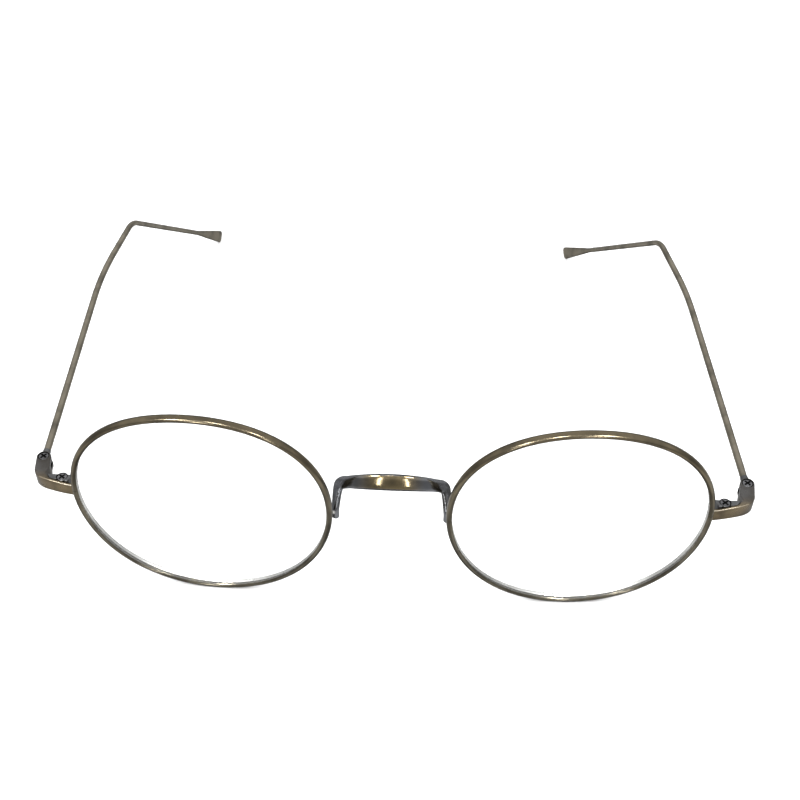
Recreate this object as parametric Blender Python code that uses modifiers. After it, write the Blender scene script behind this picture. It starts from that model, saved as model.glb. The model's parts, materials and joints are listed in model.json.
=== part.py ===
"""Round wire eyeglasses with a saddle bridge, screwed closing blocks and folding temples.

Units are metres, +Z up, +Y from the lenses towards the ears, +X towards the +X temple.
The spectacles stand open on a table, on the two rims and on the tips of the temples.
Side 1 is the +X side and side -1 its mirror image.
"""
import math

import bmesh
import bpy
from mathutils import Quaternion, Vector

MM = 0.001
SIDES = {1: "right", -1: "left"}

# ---- rims and lenses ------------------------------------------------------------------
RIM_HALF_WIDTH = 23.9 * MM
RIM_HALF_HEIGHT = 22.54 * MM
RIM_GAP = 19.8 * MM                # between the rims, where the nose goes
RIM_WRAP = math.radians(2.98)      # each rim turns back at its outer side
RIM_WALL = 1.19 * MM               # radial size of the rim wire
RIM_DEPTH = 1.76 * MM
RIM_SIDES = 8                      # facets of the rim's outer half
GROOVE_DEPTH = 0.42 * MM
GROOVE_HALF_WIDTH = 0.45 * MM
CROWN_LIFT = 0.017                 # fuller upper quarters, slimmer lower ones
CROWN_SQUARE = 0.009
RIM_STEPS = 72
LENS_THICKNESS = 1.5 * MM
LENS_SAG = 0.9 * MM                # how far the middle of the lens bulges forwards
LENS_GAP = 0.06 * MM               # all round the lens, in the groove and beside it
LENS_RINGS = 3

# ---- saddle bridge --------------------------------------------------------------------
BRIDGE_WIRE = 1.20 * MM
SADDLE_WIDTH = 3.05 * MM           # of the flat band that lies on the nose
SADDLE_END_WIDTH = 2.35 * MM
SADDLE_THICKNESS = 0.95 * MM
SADDLE_LEAN = math.radians(32)     # the band leans back as it rises
SADDLE_CENTRE = Vector((0.0, 1.6, 6.25)) * MM
SADDLE_DROP = 1.5 * MM             # from the crest of the arch to its ends
SADDLE_BACK = 1.1 * MM             # how far the ends of the arch lie behind its crest
SADDLE_END_INSET = 2.2 * MM        # from the rim's edge to the end of the arch
BRIDGE_FOOT_INSET = -0.25 * MM     # from the rim's edge to the axis of the foot behind it
BRIDGE_FOOT_DEPTH = 1.5 * MM       # below the lens centres
SOLDER_GAP = 0.03 * MM

# ---- endpieces and closing blocks -----------------------------------------------------
ENDPIECE_LEVEL = 1.9 * MM          # of the hinge, above the lens centres
ENDPIECE_HEIGHT = 2.8 * MM
STRIP_SETBACK = 0.60 * MM          # front strip, behind the face of the rim
STRIP_THICKNESS = 0.66 * MM
EDGE_ROUND = 0.20 * MM
SEAT_GAP = 0.03 * MM               # between soldered or screwed faces
LOCK_OUT = 1.86 * MM               # closing screw, from the rim's edge outwards
LOCK_BACK = 0.84 * MM              # closing screw, behind the strip's back face
LOCK_WALL = 1.06 * MM              # metal around the closing screw's axis
LOCK_WAIST = 0.60 * MM             # back edge beside the bulge, behind the screw's axis
LOCK_SPLIT = 0.04 * MM

# ---- hinges ---------------------------------------------------------------------------
HINGE_OUT = 6.63 * MM              # hinge axis, from the rim's edge outwards
HINGE_BACK = 6.46 * MM             # hinge axis, behind the rim's edge
HINGE_HALF_WIDTH = 1.2 * MM
HINGE_BULGE = 0.60 * MM            # wider in front of the fork, towards the head
HINGE_NECK = 0.30 * MM             # wider again in front of the bulge, by less
TONGUE_THICKNESS = 0.80 * MM
TONGUE_RADIUS = 1.14 * MM
WASHER_THICKNESS = 0.10 * MM
WASHER_RADIUS = 1.06 * MM
STACK_GAP = 0.03 * MM              # between each pair of faces in the hinge
SLOT_END_GAP = 0.60 * MM
FERRULE_GAP = 0.16 * MM            # from the fork's rear end to the ferrule
FERRULE_LENGTH = 1.4 * MM
FERRULE_WALL = 0.06 * MM

# ---- screws ---------------------------------------------------------------------------
SCREW_HEAD_RADIUS = 0.93 * MM
SCREW_HEAD_HEIGHT = 0.38 * MM
SCREW_SHANK_RADIUS = 0.50 * MM
SCREW_CLEARANCE = 0.05 * MM
SCREW_END_INSET = 0.08 * MM
RECESS_WIDTH = 0.28 * MM
RECESS_LENGTH = 1.25 * MM
RECESS_DEPTH = 0.22 * MM
RECESS_TURN = math.radians(38)

# ---- temples, bent by hand and so not quite alike ---------------------------------------
TEMPLE_WIRE = 1.20 * MM
TEMPLE_OFFSET = 0.20 * MM          # wire axis, from the hinge axis outwards
TEMPLE_STRAIGHT = 58.5 * MM
BOW_LENGTH = {1: 19.8 * MM, -1: 21.0 * MM}
BOW_ANGLE = {1: math.radians(7.3), -1: math.radians(9.4)}    # towards the head
BOW_RADIUS = 44.0 * MM
EAR_RADIUS = 6.5 * MM
TIP_LENGTH = 57.5 * MM
TIP_DROP = {1: math.radians(36.3), -1: math.radians(36.6)}
TIP_INWARD = {1: math.radians(17.7), -1: math.radians(16.2)}
PADDLE_LENGTH = 17.0 * MM
PADDLE_WIDTH = 3.4 * MM
PADDLE_THICKNESS = 0.95 * MM
PADDLE_CORNER = 1.0 * MM
OPEN_SPLAY = math.radians(3.5)     # outwards, when the temple is at its stop
REST_FOLD = {1: math.radians(6.4), -1: 0.0}

TURN_STEPS = 20
WIRE_SIDES = 12
BEND_STEPS = 8
MERGE = 1.0e-7

RIM_CENTRE_X = RIM_GAP / 2 + RIM_HALF_WIDTH
RIM_EDGE_X = RIM_CENTRE_X + RIM_HALF_WIDTH * math.cos(RIM_WRAP)
RIM_EDGE_Y = RIM_HALF_WIDTH * math.sin(RIM_WRAP)
STRIP_FRONT_Y = RIM_EDGE_Y - RIM_DEPTH / 2 + STRIP_SETBACK
HINGE = Vector((RIM_EDGE_X + HINGE_OUT, RIM_EDGE_Y + HINGE_BACK, ENDPIECE_LEVEL))
SLOT_HALF = TONGUE_THICKNESS / 2 + WASHER_THICKNESS + 2 * STACK_GAP
SLOT_FRONT = TONGUE_RADIUS + SLOT_END_GAP
FERRULE_START = HINGE_HALF_WIDTH + FERRULE_GAP
FERRULE_RADIUS = TEMPLE_WIRE / 2 + FERRULE_WALL
ENDPIECE_TOP = ENDPIECE_LEVEL + ENDPIECE_HEIGHT / 2


def clear_scene():
    """Remove whatever objects the scene holds."""
    for old in list(bpy.data.objects):
        bpy.data.objects.remove(old, do_unlink=True)


def finish(name, colour, roughness, metallic=1.0):
    """Make a Principled material."""
    material = bpy.data.materials.new(name)
    material.use_nodes = True
    shader = material.node_tree.nodes["Principled BSDF"]
    shader.inputs["Base Color"].default_value = (*colour, 1.0)
    shader.inputs["Roughness"].default_value = roughness
    shader.inputs["Metallic"].default_value = metallic
    return material


def place(obj, parent, material):
    """Put an object in the eyeglasses collection, under its parent, with its material."""
    parts.objects.link(obj)
    obj.parent = parent
    obj.data.materials.clear()
    obj.data.materials.append(material)
    for polygon in obj.data.polygons:
        polygon.use_smooth = True
    obj.data.set_sharp_from_angle(angle=math.radians(35))
    return obj


def guide(obj, parent):
    """Put an object in the cutters collection, shown as wire only."""
    cutters.objects.link(obj)
    obj.parent = parent
    obj.hide_render = True
    obj.display_type = "WIRE"
    return obj


def mesh_object(name, bm):
    """Turn a bmesh into an object with its faces pointing out."""
    bmesh.ops.recalc_face_normals(bm, faces=bm.faces)
    mesh = bpy.data.meshes.new(name)
    bm.to_mesh(mesh)
    bm.free()
    return bpy.data.objects.new(name, mesh)


def cylinder(name, radius, bottom, top):
    """Make an upright cylinder about the local Z axis."""
    bm = bmesh.new()
    bmesh.ops.create_cone(
        bm, cap_ends=True, segments=TURN_STEPS, radius1=radius, radius2=radius, depth=top - bottom
    )
    bmesh.ops.translate(bm, vec=(0.0, 0.0, (top + bottom) / 2), verts=bm.verts)
    return mesh_object(name, bm)


def box(name, low, high):
    """Make a box between two corners."""
    bm = bmesh.new()
    bmesh.ops.create_cube(bm, size=1.0)
    low = Vector(low)
    high = Vector(high)
    bmesh.ops.scale(bm, vec=high - low, verts=bm.verts)
    bmesh.ops.translate(bm, vec=(low + high) / 2, verts=bm.verts)
    return mesh_object(name, bm)


def solid_from_curve(curve_object):
    """Turn a curve into a welded mesh object at the same place."""
    scene = bpy.context.scene.collection
    scene.objects.link(curve_object)
    bpy.context.view_layer.update()
    evaluated = curve_object.evaluated_get(bpy.context.evaluated_depsgraph_get())
    mesh = bpy.data.meshes.new_from_object(evaluated)
    bm = bmesh.new()
    bm.from_mesh(mesh)
    bmesh.ops.remove_doubles(bm, verts=bm.verts, dist=MERGE)
    bmesh.ops.recalc_face_normals(bm, faces=bm.faces)
    bm.to_mesh(mesh)
    bm.free()
    solid = bpy.data.objects.new(curve_object.name, mesh)
    solid.matrix_world = curve_object.matrix_world
    name = curve_object.name
    bpy.data.objects.remove(curve_object, do_unlink=True)
    solid.name = name
    return solid


def poly_spline(curve, points, cyclic):
    """Add a spline of straight runs through flat points."""
    spline = curve.splines.new("POLY")
    spline.points.add(len(points) - 1)
    for spline_point, (x, y) in zip(spline.points, points):
        spline_point.co = (x, y, 0.0, 1.0)
    spline.use_cyclic_u = cyclic


def plate(name, points, bottom, top):
    """Extrude a flat outline between two heights."""
    curve = bpy.data.curves.new(name, "CURVE")
    curve.dimensions = "2D"
    curve.fill_mode = "BOTH"
    curve.extrude = (top - bottom) / 2
    poly_spline(curve, points, True)
    obj = bpy.data.objects.new(name, curve)
    obj.location.z = (top + bottom) / 2
    return solid_from_curve(obj)


def loft(name, rings, open_start=False):
    """Skin a row of rings of equal count and close its ends."""
    bm = bmesh.new()
    loops = [[bm.verts.new(point) for point in ring] for ring in rings]
    for near, far in zip(loops, loops[1:]):
        for i, corner in enumerate(near):
            j = (i + 1) % len(near)
            bm.faces.new((corner, near[j], far[j], far[i]))
    bm.faces.new(loops[-1])
    if not open_start:
        bm.faces.new(loops[0])
    return mesh_object(name, bm)


def cut(obj, cutter, operation="DIFFERENCE"):
    """Cut an object with another, or join the two, with an exact Boolean."""
    boolean = obj.modifiers.new(f"{operation.lower()}_{cutter.name}", "BOOLEAN")
    boolean.object = cutter
    boolean.operation = operation
    boolean.solver = "EXACT"


def round_edges(obj, width):
    """Round the sharp edges of a plate."""
    bevel = obj.modifiers.new("round_edges", "BEVEL")
    bevel.width = width
    bevel.segments = 2
    bevel.limit_method = "ANGLE"
    bevel.angle_limit = math.radians(50)


def arc(centre, radius, start, end, steps):
    """Points of an arc in the plane, angles in degrees."""
    points = []
    for i in range(steps + 1):
        angle = math.radians(start + (end - start) * i / steps)
        points.append(
            (centre[0] + radius * math.cos(angle), centre[1] + radius * math.sin(angle))
        )
    return points


def mirrored(points, side):
    """Outline of the same piece on the other side."""
    return [(side * x, y) for x, y in points]


def rim_point(angle, inset):
    """Point of the rim outline moved inwards, x from the rim centre outwards, y up."""
    swell = 1 + CROWN_LIFT * math.sin(3 * angle) - CROWN_SQUARE * math.cos(4 * angle)
    slope = 3 * CROWN_LIFT * math.cos(3 * angle) + 4 * CROWN_SQUARE * math.sin(4 * angle)
    point = Vector((
        RIM_HALF_WIDTH * swell * math.cos(angle),
        RIM_HALF_HEIGHT * swell * math.sin(angle),
    ))
    along = Vector((
        RIM_HALF_WIDTH * (slope * math.cos(angle) - swell * math.sin(angle)),
        RIM_HALF_HEIGHT * (slope * math.sin(angle) + swell * math.cos(angle)),
    ))
    outwards = Vector((along.y, -along.x)).normalized()
    return point - outwards * inset


def rim_outline(inset, start=0.0, end=2 * math.pi, closed=True):
    """Row of points round the rim."""
    count = RIM_STEPS if closed else RIM_STEPS + 1
    return [
        tuple(rim_point(start + (end - start) * i / RIM_STEPS, inset)) for i in range(count)
    ]


def place_on_rim(obj, side):
    """Stand a piece drawn in its XY plane up in the plane of a rim."""
    obj.location = (side * RIM_CENTRE_X, 0.0, 0.0)
    obj.rotation_euler = (math.pi / 2, 0.0, side * RIM_WRAP)


def rim_section():
    """Profile of the rim wire: an oval bar with a V groove on its inner side."""
    half_wall = RIM_WALL / 2
    half_depth = RIM_DEPTH / 2
    outer = []
    for i in range(RIM_SIDES + 1):
        angle = math.pi * (i / RIM_SIDES - 0.5)
        outer.append((half_wall * math.cos(angle), half_depth * math.sin(angle)))
    lip = -half_wall * math.sqrt(1 - (GROOVE_HALF_WIDTH / half_depth) ** 2)
    groove = [
        (lip, GROOVE_HALF_WIDTH),
        (GROOVE_DEPTH - half_wall, 0.0),
        (lip, -GROOVE_HALF_WIDTH),
    ]
    return outer + groove


def make_rim(side):
    """Sweep the rim section round the lens, open where the closing blocks meet."""
    profile_curve = bpy.data.curves.new(f"rim_section_{SIDES[side]}", "CURVE")
    profile_curve.dimensions = "2D"
    poly_spline(profile_curve, rim_section(), True)
    profile = bpy.data.objects.new(profile_curve.name, profile_curve)
    split = math.asin(ENDPIECE_LEVEL / RIM_HALF_HEIGHT)
    opening = LOCK_SPLIT / 2 / RIM_HALF_HEIGHT
    path = rim_outline(RIM_WALL / 2, split + opening, split + 2 * math.pi - opening, False)
    curve = bpy.data.curves.new(f"rim_{SIDES[side]}", "CURVE")
    curve.dimensions = "2D"
    curve.bevel_mode = "OBJECT"
    curve.bevel_object = guide(profile, front)
    curve.use_fill_caps = True
    poly_spline(curve, mirrored(path, side)[::side], False)
    rim = bpy.data.objects.new(curve.name, curve)
    place_on_rim(rim, side)
    place(solid_from_curve(rim), front, gilt)


def make_rim_seat(side):
    """Make the cutter that shapes soldered pieces to the outside of the rim."""
    curve = bpy.data.curves.new(f"rim_seat_{SIDES[side]}", "CURVE")
    curve.dimensions = "2D"
    curve.fill_mode = "BOTH"
    curve.extrude = RIM_DEPTH * 3
    poly_spline(curve, mirrored(rim_outline(-SEAT_GAP), side), True)
    seat = bpy.data.objects.new(curve.name, curve)
    place_on_rim(seat, side)
    return guide(solid_from_curve(seat), front)


def make_lens(side):
    """Make a bevelled clear lens, slightly bulged forwards."""
    edge_inset = RIM_WALL + LENS_GAP
    apex_inset = RIM_WALL - GROOVE_DEPTH + 2 * LENS_GAP
    half = LENS_THICKNESS / 2
    shoulder = GROOVE_HALF_WIDTH - LENS_GAP
    rings = []
    for i in range(LENS_RINGS):
        share = (i + 0.15) / (LENS_RINGS - 0.85)
        bulge = LENS_SAG * (1 - share * share)
        rings.append([(x * share, y * share, half + bulge) for x, y in rim_outline(edge_inset)])
    back = [[(x, y, z - LENS_THICKNESS) for x, y, z in ring] for ring in reversed(rings)]
    bevel = [
        [(x, y, depth) for x, y in rim_outline(inset)]
        for inset, depth in ((edge_inset, shoulder), (apex_inset, 0.0), (edge_inset, -shoulder))
    ]
    lens = loft(f"lens_{SIDES[side]}", rings + bevel + back)
    if side < 0:
        lens.data.transform(((-1, 0, 0, 0), (0, 1, 0, 0), (0, 0, 1, 0), (0, 0, 0, 1)))
        lens.data.flip_normals()
    place_on_rim(lens, side)
    place(lens, front, clear)


def smooth_through(points, steps):
    """Catmull-Rom curve through points, with a number of steps between each two."""
    ends = [2 * points[0] - points[1], *points, 2 * points[-1] - points[-2]]
    curve = []
    for a, b, c, d in zip(ends, ends[1:], ends[2:], ends[3:]):
        for i in range(steps):
            t = i / steps
            curve.append(
                0.5 * (2 * b + (c - a) * t + (2 * a - 5 * b + 4 * c - d) * t ** 2
                       + (3 * b - a - 3 * c + d) * t ** 3)
            )
    return [*curve, points[-1]]


def section(centre, width_way, thick_way, half_width, half_thickness, squareness):
    """Ring of a superellipse: squareness 1 is round, smaller is more like a flat bar."""
    ring = []
    for i in range(WIRE_SIDES):
        angle = 2 * math.pi * (i + 0.5) / WIRE_SIDES
        across = math.copysign(abs(math.cos(angle)) ** squareness, math.cos(angle))
        through = math.copysign(abs(math.sin(angle)) ** squareness, math.sin(angle))
        ring.append(
            centre + width_way * (half_width * across) + thick_way * (half_thickness * through)
        )
    return ring


def ease(share):
    """Smooth step from 0 to 1."""
    share = min(max(share, 0.0), 1.0)
    return share * share * (3 - 2 * share)


def bridge_line():
    """Centre line of half the bridge, from the crest of the saddle to its foot."""
    edge = RIM_GAP / 2
    arch_end = edge - SADDLE_END_INSET
    foot_x = edge - BRIDGE_FOOT_INSET
    foot_y = RIM_DEPTH / 2 - RIM_EDGE_Y + BRIDGE_WIRE / 2 + 2 * SOLDER_GAP
    end = SADDLE_CENTRE + Vector((arch_end, SADDLE_BACK, -SADDLE_DROP))
    arch = []
    for share in (0.0, 0.35, 0.7, 1.0):
        arch.append(SADDLE_CENTRE + Vector((
            arch_end * share, SADDLE_BACK * share ** 2, -SADDLE_DROP * share ** 2
        )))
    foot = Vector((foot_x, foot_y, -BRIDGE_FOOT_DEPTH))
    shoulder = [
        Vector((foot_x - 0.95 * MM, end.y + 0.25 * MM, end.z - 0.60 * MM)),
        Vector((foot_x - 0.32 * MM, end.y + 0.02 * MM, end.z - 1.70 * MM)),
    ]
    knee = foot + Vector((0.0, 0.45 * MM, 1.9 * MM))
    return smooth_through([*arch, *shoulder, knee, foot], 4)


def make_bridge():
    """Make the saddle bridge: a wire at its feet, a leaning flat band over the nose."""
    line = bridge_line()
    width_way = Vector((0.0, math.sin(SADDLE_LEAN), math.cos(SADDLE_LEAN)))
    arch_end = RIM_GAP / 2 - SADDLE_END_INSET
    rings = []
    before = Vector((1.0, 0.0, 0.0))
    for i, centre in enumerate(line):
        if i == 0:
            along = before
        else:
            along = (line[min(i + 1, len(line) - 1)] - line[i - 1]).normalized()
        width_way = before.rotation_difference(along) @ width_way
        before = along
        wire = ease(i / len(line) * 2.2 - 1.1)
        band = SADDLE_WIDTH + (SADDLE_END_WIDTH - SADDLE_WIDTH) * min(1.0, centre.x / arch_end) ** 2
        half_width = (band + (BRIDGE_WIRE - band) * wire) / 2
        half_thick = (SADDLE_THICKNESS + (BRIDGE_WIRE - SADDLE_THICKNESS) * wire) / 2
        rings.append(section(
            centre, width_way, along.cross(width_way), half_width, half_thick, 0.7 + 0.3 * wire
        ))
    foot_tip = line[-1] + before * (BRIDGE_WIRE * 0.3)
    rings.append(section(
        foot_tip, width_way, before.cross(width_way), BRIDGE_WIRE * 0.32, BRIDGE_WIRE * 0.32, 1.0
    ))
    bridge = loft("bridge", rings, open_start=True)
    mirror = bridge.modifiers.new("both_halves", "MIRROR")
    mirror.merge_threshold = 10 * MERGE
    place(bridge, front, saddle_gilt)


def strip_front(share):
    """Point of the endpiece's front face, from the rim (0) to its outer side (1)."""
    outer_x = HINGE.x + HINGE_HALF_WIDTH
    handles = (
        Vector((RIM_EDGE_X - RIM_WALL, STRIP_FRONT_Y - 0.12 * MM)),
        Vector((RIM_EDGE_X + HINGE_OUT * 0.62, STRIP_FRONT_Y + 0.64 * MM)),
        Vector((outer_x, STRIP_FRONT_Y + 1.64 * MM)),
        Vector((outer_x, HINGE.y - HINGE_BACK * 0.22)),
    )
    rest = 1 - share
    return (
        handles[0] * rest ** 3 + handles[1] * 3 * rest ** 2 * share
        + handles[2] * 3 * rest * share ** 2 + handles[3] * share ** 3
    )


def strip_back(share, thickness):
    """Point of the endpiece's back face, a thickness behind its front face."""
    along = (strip_front(share + 0.01) - strip_front(share - 0.01)).normalized()
    return strip_front(share) + Vector((-along.y, along.x)) * thickness


def endpiece_outline():
    """Plan of the endpiece: front strip, corner, and the block that the hinge fork is cut in."""
    front_face = [tuple(strip_front(i / 12)) for i in range(13)]
    rear = arc((HINGE.x, HINGE.y), HINGE_HALF_WIDTH, 0, 180, 12)
    inner_x = HINGE.x - HINGE_HALF_WIDTH
    neck_y = LOCK.y + LOCK_WAIST + HINGE_NECK
    bulge_y = (neck_y + HINGE.y - SLOT_FRONT) / 2
    inner = [
        (inner_x, HINGE.y - TONGUE_RADIUS * 0.7),
        (inner_x - HINGE_BULGE * 0.75, bulge_y + HINGE_BULGE * 0.95),
        (inner_x - HINGE_BULGE, bulge_y + HINGE_BULGE * 0.4),
        (inner_x - HINGE_BULGE, bulge_y - HINGE_BULGE * 0.4),
        (inner_x - HINGE_BULGE * 0.8, bulge_y - HINGE_BULGE),
        (inner_x - HINGE_NECK, neck_y),
        (inner_x - HINGE_NECK * 1.5, neck_y - 1.5 * HINGE_NECK),
    ]
    back_face = [tuple(strip_back(i / 12, STRIP_THICKNESS)) for i in range(5, -1, -1)]
    return front_face + rear + inner + back_face


def lock_outline():
    """Plan of the closing blocks, behind the front strip, with a bulge round the screw."""
    strip_side = [tuple(strip_back(i / 12, STRIP_THICKNESS + SEAT_GAP)) for i in range(5)]
    waist_y = LOCK.y + LOCK_WAIST
    outer_x = HINGE.x - HINGE_HALF_WIDTH - HINGE_BULGE
    lean = math.degrees(math.asin(LOCK_WAIST / LOCK_WALL))
    bulge = arc((LOCK.x, LOCK.y), LOCK_WALL, lean, 180 - lean, 8)
    inner_x = strip_side[0][0]
    return [*strip_side, (outer_x, waist_y), *bulge, (inner_x, waist_y)]


def cross_outline():
    """Outline of a cross recess."""
    arm = RECESS_LENGTH / 2
    half = RECESS_WIDTH / 2
    corners = ((arm, half), (half, half), (half, arm))
    outline = []
    for turn in range(4):
        for x, y in corners:
            for _ in range(turn):
                x, y = -y, x
            outline.append((x, y))
    return outline


def make_screw(name, parent, centre, top, length):
    """Turn a cheese-head screw with a cross recess, its head uppermost."""
    profile = (
        (0.0, 0.0),
        (SCREW_HEAD_RADIUS - EDGE_ROUND / 2, 0.0),
        (SCREW_HEAD_RADIUS, -EDGE_ROUND / 2),
        (SCREW_HEAD_RADIUS, -SCREW_HEAD_HEIGHT),
        (SCREW_SHANK_RADIUS, -SCREW_HEAD_HEIGHT),
        (SCREW_SHANK_RADIUS, -length),
        (0.0, -length),
    )
    bm = bmesh.new()
    corners = [bm.verts.new((radius, 0.0, height)) for radius, height in profile]
    for near, far in zip(corners, corners[1:]):
        bm.edges.new((near, far))
    mesh = bpy.data.meshes.new(name)
    bm.to_mesh(mesh)
    bm.free()
    screw = bpy.data.objects.new(name, mesh)
    turn = screw.modifiers.new("turn", "SCREW")
    turn.steps = TURN_STEPS
    turn.render_steps = TURN_STEPS
    turn.use_merge_vertices = True
    turn.merge_threshold = 10 * MERGE
    place(screw, parent, steel)
    screw.location = (centre.x, centre.y, top)
    recess = plate(f"recess_{name}", cross_outline(), -RECESS_DEPTH, RECESS_DEPTH)
    guide(recess, parent)
    recess.location = screw.location
    recess.rotation_euler.z = RECESS_TURN
    cut(screw, recess)


def upright_cutter(name, centre, radius, bottom, top):
    """Make an upright round cutter on the front."""
    cutter = guide(cylinder(name, radius, bottom, top), front)
    cutter.location = (centre.x, centre.y, 0.0)
    cutter.rotation_euler.z = RECESS_TURN
    return cutter


def make_lock(side, seat):
    """Make the two closing blocks that are screwed together to hold the lens in the rim."""
    name = SIDES[side]
    axis = Vector((side * LOCK.x, LOCK.y))
    bottom = ENDPIECE_LEVEL - ENDPIECE_HEIGHT / 2
    head_top = ENDPIECE_TOP - SEAT_GAP
    head_seat = upright_cutter(
        f"lock_head_seat_{name}", axis, SCREW_HEAD_RADIUS + SCREW_CLEARANCE,
        head_top - SCREW_HEAD_HEIGHT - SEAT_GAP, ENDPIECE_TOP + MM,
    )
    bore = upright_cutter(
        f"lock_bore_{name}", axis, SCREW_SHANK_RADIUS + SCREW_CLEARANCE,
        bottom - MM, ENDPIECE_TOP + MM,
    )
    outline = mirrored(lock_outline(), side)
    for half, low, high in (
        ("upper", ENDPIECE_LEVEL + LOCK_SPLIT / 2, ENDPIECE_TOP),
        ("lower", bottom, ENDPIECE_LEVEL - LOCK_SPLIT / 2),
    ):
        block = plate(f"closing_block_{half}_{name}", outline, low, high)
        place(block, front, gunmetal)
        round_edges(block, EDGE_ROUND / 3)
        cut(block, bore)
        if half == "upper":
            cut(block, head_seat)
        cut(block, seat)
    make_screw(
        f"closing_screw_{name}", front, axis, head_top, head_top - bottom - SCREW_END_INSET
    )
    return head_seat


def make_endpiece(side, seat, lock_head_seat):
    """Make the endpiece: strip, corner and the forked half of the hinge."""
    name = SIDES[side]
    bottom = ENDPIECE_LEVEL - ENDPIECE_HEIGHT / 2
    axis = Vector((side * HINGE.x, HINGE.y))
    endpiece = plate(f"endpiece_{name}", mirrored(endpiece_outline(), side), bottom, ENDPIECE_TOP)
    place(endpiece, front, gilt)
    round_edges(endpiece, EDGE_ROUND)
    slot = guide(box(
        f"hinge_slot_{name}",
        (axis.x - 3 * HINGE_HALF_WIDTH, axis.y - SLOT_FRONT, ENDPIECE_LEVEL - SLOT_HALF),
        (axis.x + 3 * HINGE_HALF_WIDTH, axis.y + 3 * HINGE_HALF_WIDTH, ENDPIECE_LEVEL + SLOT_HALF),
    ), front)
    bore = upright_cutter(
        f"hinge_bore_{name}", axis, SCREW_SHANK_RADIUS + SCREW_CLEARANCE,
        bottom - MM, ENDPIECE_TOP + MM,
    )
    head_seat = upright_cutter(
        f"hinge_head_seat_{name}", axis, SCREW_HEAD_RADIUS + SCREW_CLEARANCE,
        ENDPIECE_TOP - SCREW_HEAD_HEIGHT, ENDPIECE_TOP + MM,
    )
    for cutter in (seat, lock_head_seat, slot, bore, head_seat):
        cut(endpiece, cutter)
    head_top = ENDPIECE_TOP + STACK_GAP
    make_screw(
        f"hinge_screw_{name}", front, axis, head_top, head_top - bottom - SCREW_END_INSET
    )


def make_washer(side, level, place_name):
    """Make a thin washer between the fork and the tongue."""
    washer = cylinder(
        f"hinge_washer_{place_name}_{SIDES[side]}", WASHER_RADIUS,
        level - WASHER_THICKNESS / 2, level + WASHER_THICKNESS / 2,
    )
    place(washer, hinges[side], steel)
    cut(washer, tongue_bores[side])


def make_tongue(side):
    """Make the temple's half of the hinge: a flat tongue on a ferrule for the wire."""
    name = SIDES[side]
    half = TONGUE_THICKNESS / 2
    arm = TEMPLE_WIRE / 2
    reach = FERRULE_START + FERRULE_LENGTH / 2
    inner = TEMPLE_OFFSET - arm
    outer = TEMPLE_OFFSET + arm
    lean = math.degrees(math.asin(-inner / TONGUE_RADIUS))
    spread = math.degrees(math.asin(outer / TONGUE_RADIUS))
    outline = arc((0.0, 0.0), TONGUE_RADIUS, 90 + lean, 450 - spread, 18)
    outline += [(outer, reach), (inner, reach)]
    tongue = plate(f"temple_hinge_{name}", mirrored(outline, side), -half, half)
    place(tongue, hinges[side], gunmetal)
    ferrule = cylinder(f"ferrule_{name}", FERRULE_RADIUS, 0.0, FERRULE_LENGTH)
    guide(ferrule, hinges[side])
    ferrule.location = (side * TEMPLE_OFFSET, FERRULE_START, 0.0)
    ferrule.rotation_euler = (-math.pi / 2, 0.0, 0.0)
    cut(tongue, ferrule, "UNION")
    cut(tongue, tongue_bores[side])


def rounded_line(corners, radii, side):
    """Centre line through corners, each inner corner rounded by an arc of its radius."""
    points = [corners[0]]
    for before, corner, after, radius in zip(corners, corners[1:], corners[2:], radii):
        arrive = (corner - before).normalized()
        leave = (after - corner).normalized()
        half_turn = arrive.angle(leave) / 2
        centre = corner + (leave - arrive).normalized() * (radius / math.cos(half_turn))
        spoke = corner - arrive * (radius * math.tan(half_turn)) - centre
        axis = arrive.cross(leave).normalized()
        for i in range(BEND_STEPS + 1):
            turned = Quaternion(axis, 2 * half_turn * i / BEND_STEPS) @ spoke
            points.append(centre + turned)
    points.append(corners[-1])
    return [Vector((side * p.x, p.y, p.z)) for p in points]


def temple_line(side):
    """Centre line of the temple, from its ferrule to the end of its paddle."""
    start = Vector((TEMPLE_OFFSET, FERRULE_START + FERRULE_LENGTH + SOLDER_GAP, 0.0))
    bow = Vector((TEMPLE_OFFSET, TEMPLE_STRAIGHT, 0.0))
    turn = BOW_ANGLE[side]
    inward = TIP_INWARD[side]
    drop = TIP_DROP[side]
    ear = bow + BOW_LENGTH[side] * Vector((-math.sin(turn), math.cos(turn), 0.0))
    tip_way = Vector((
        -math.sin(inward) * math.cos(drop), math.cos(inward) * math.cos(drop), -math.sin(drop)
    ))
    line = rounded_line(
        [start, bow, ear, ear + TIP_LENGTH * tip_way], (BOW_RADIUS, EAR_RADIUS), side
    )
    end = line.pop()
    way = (end - line[-1]).normalized()
    flare = [PADDLE_LENGTH * (1 - i / 8) for i in range(8)]
    corner = [PADDLE_CORNER * share for share in (1.0, 0.65, 0.35, 0.12, 0.0)]
    return line + [end - way * back for back in flare + corner]


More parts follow.
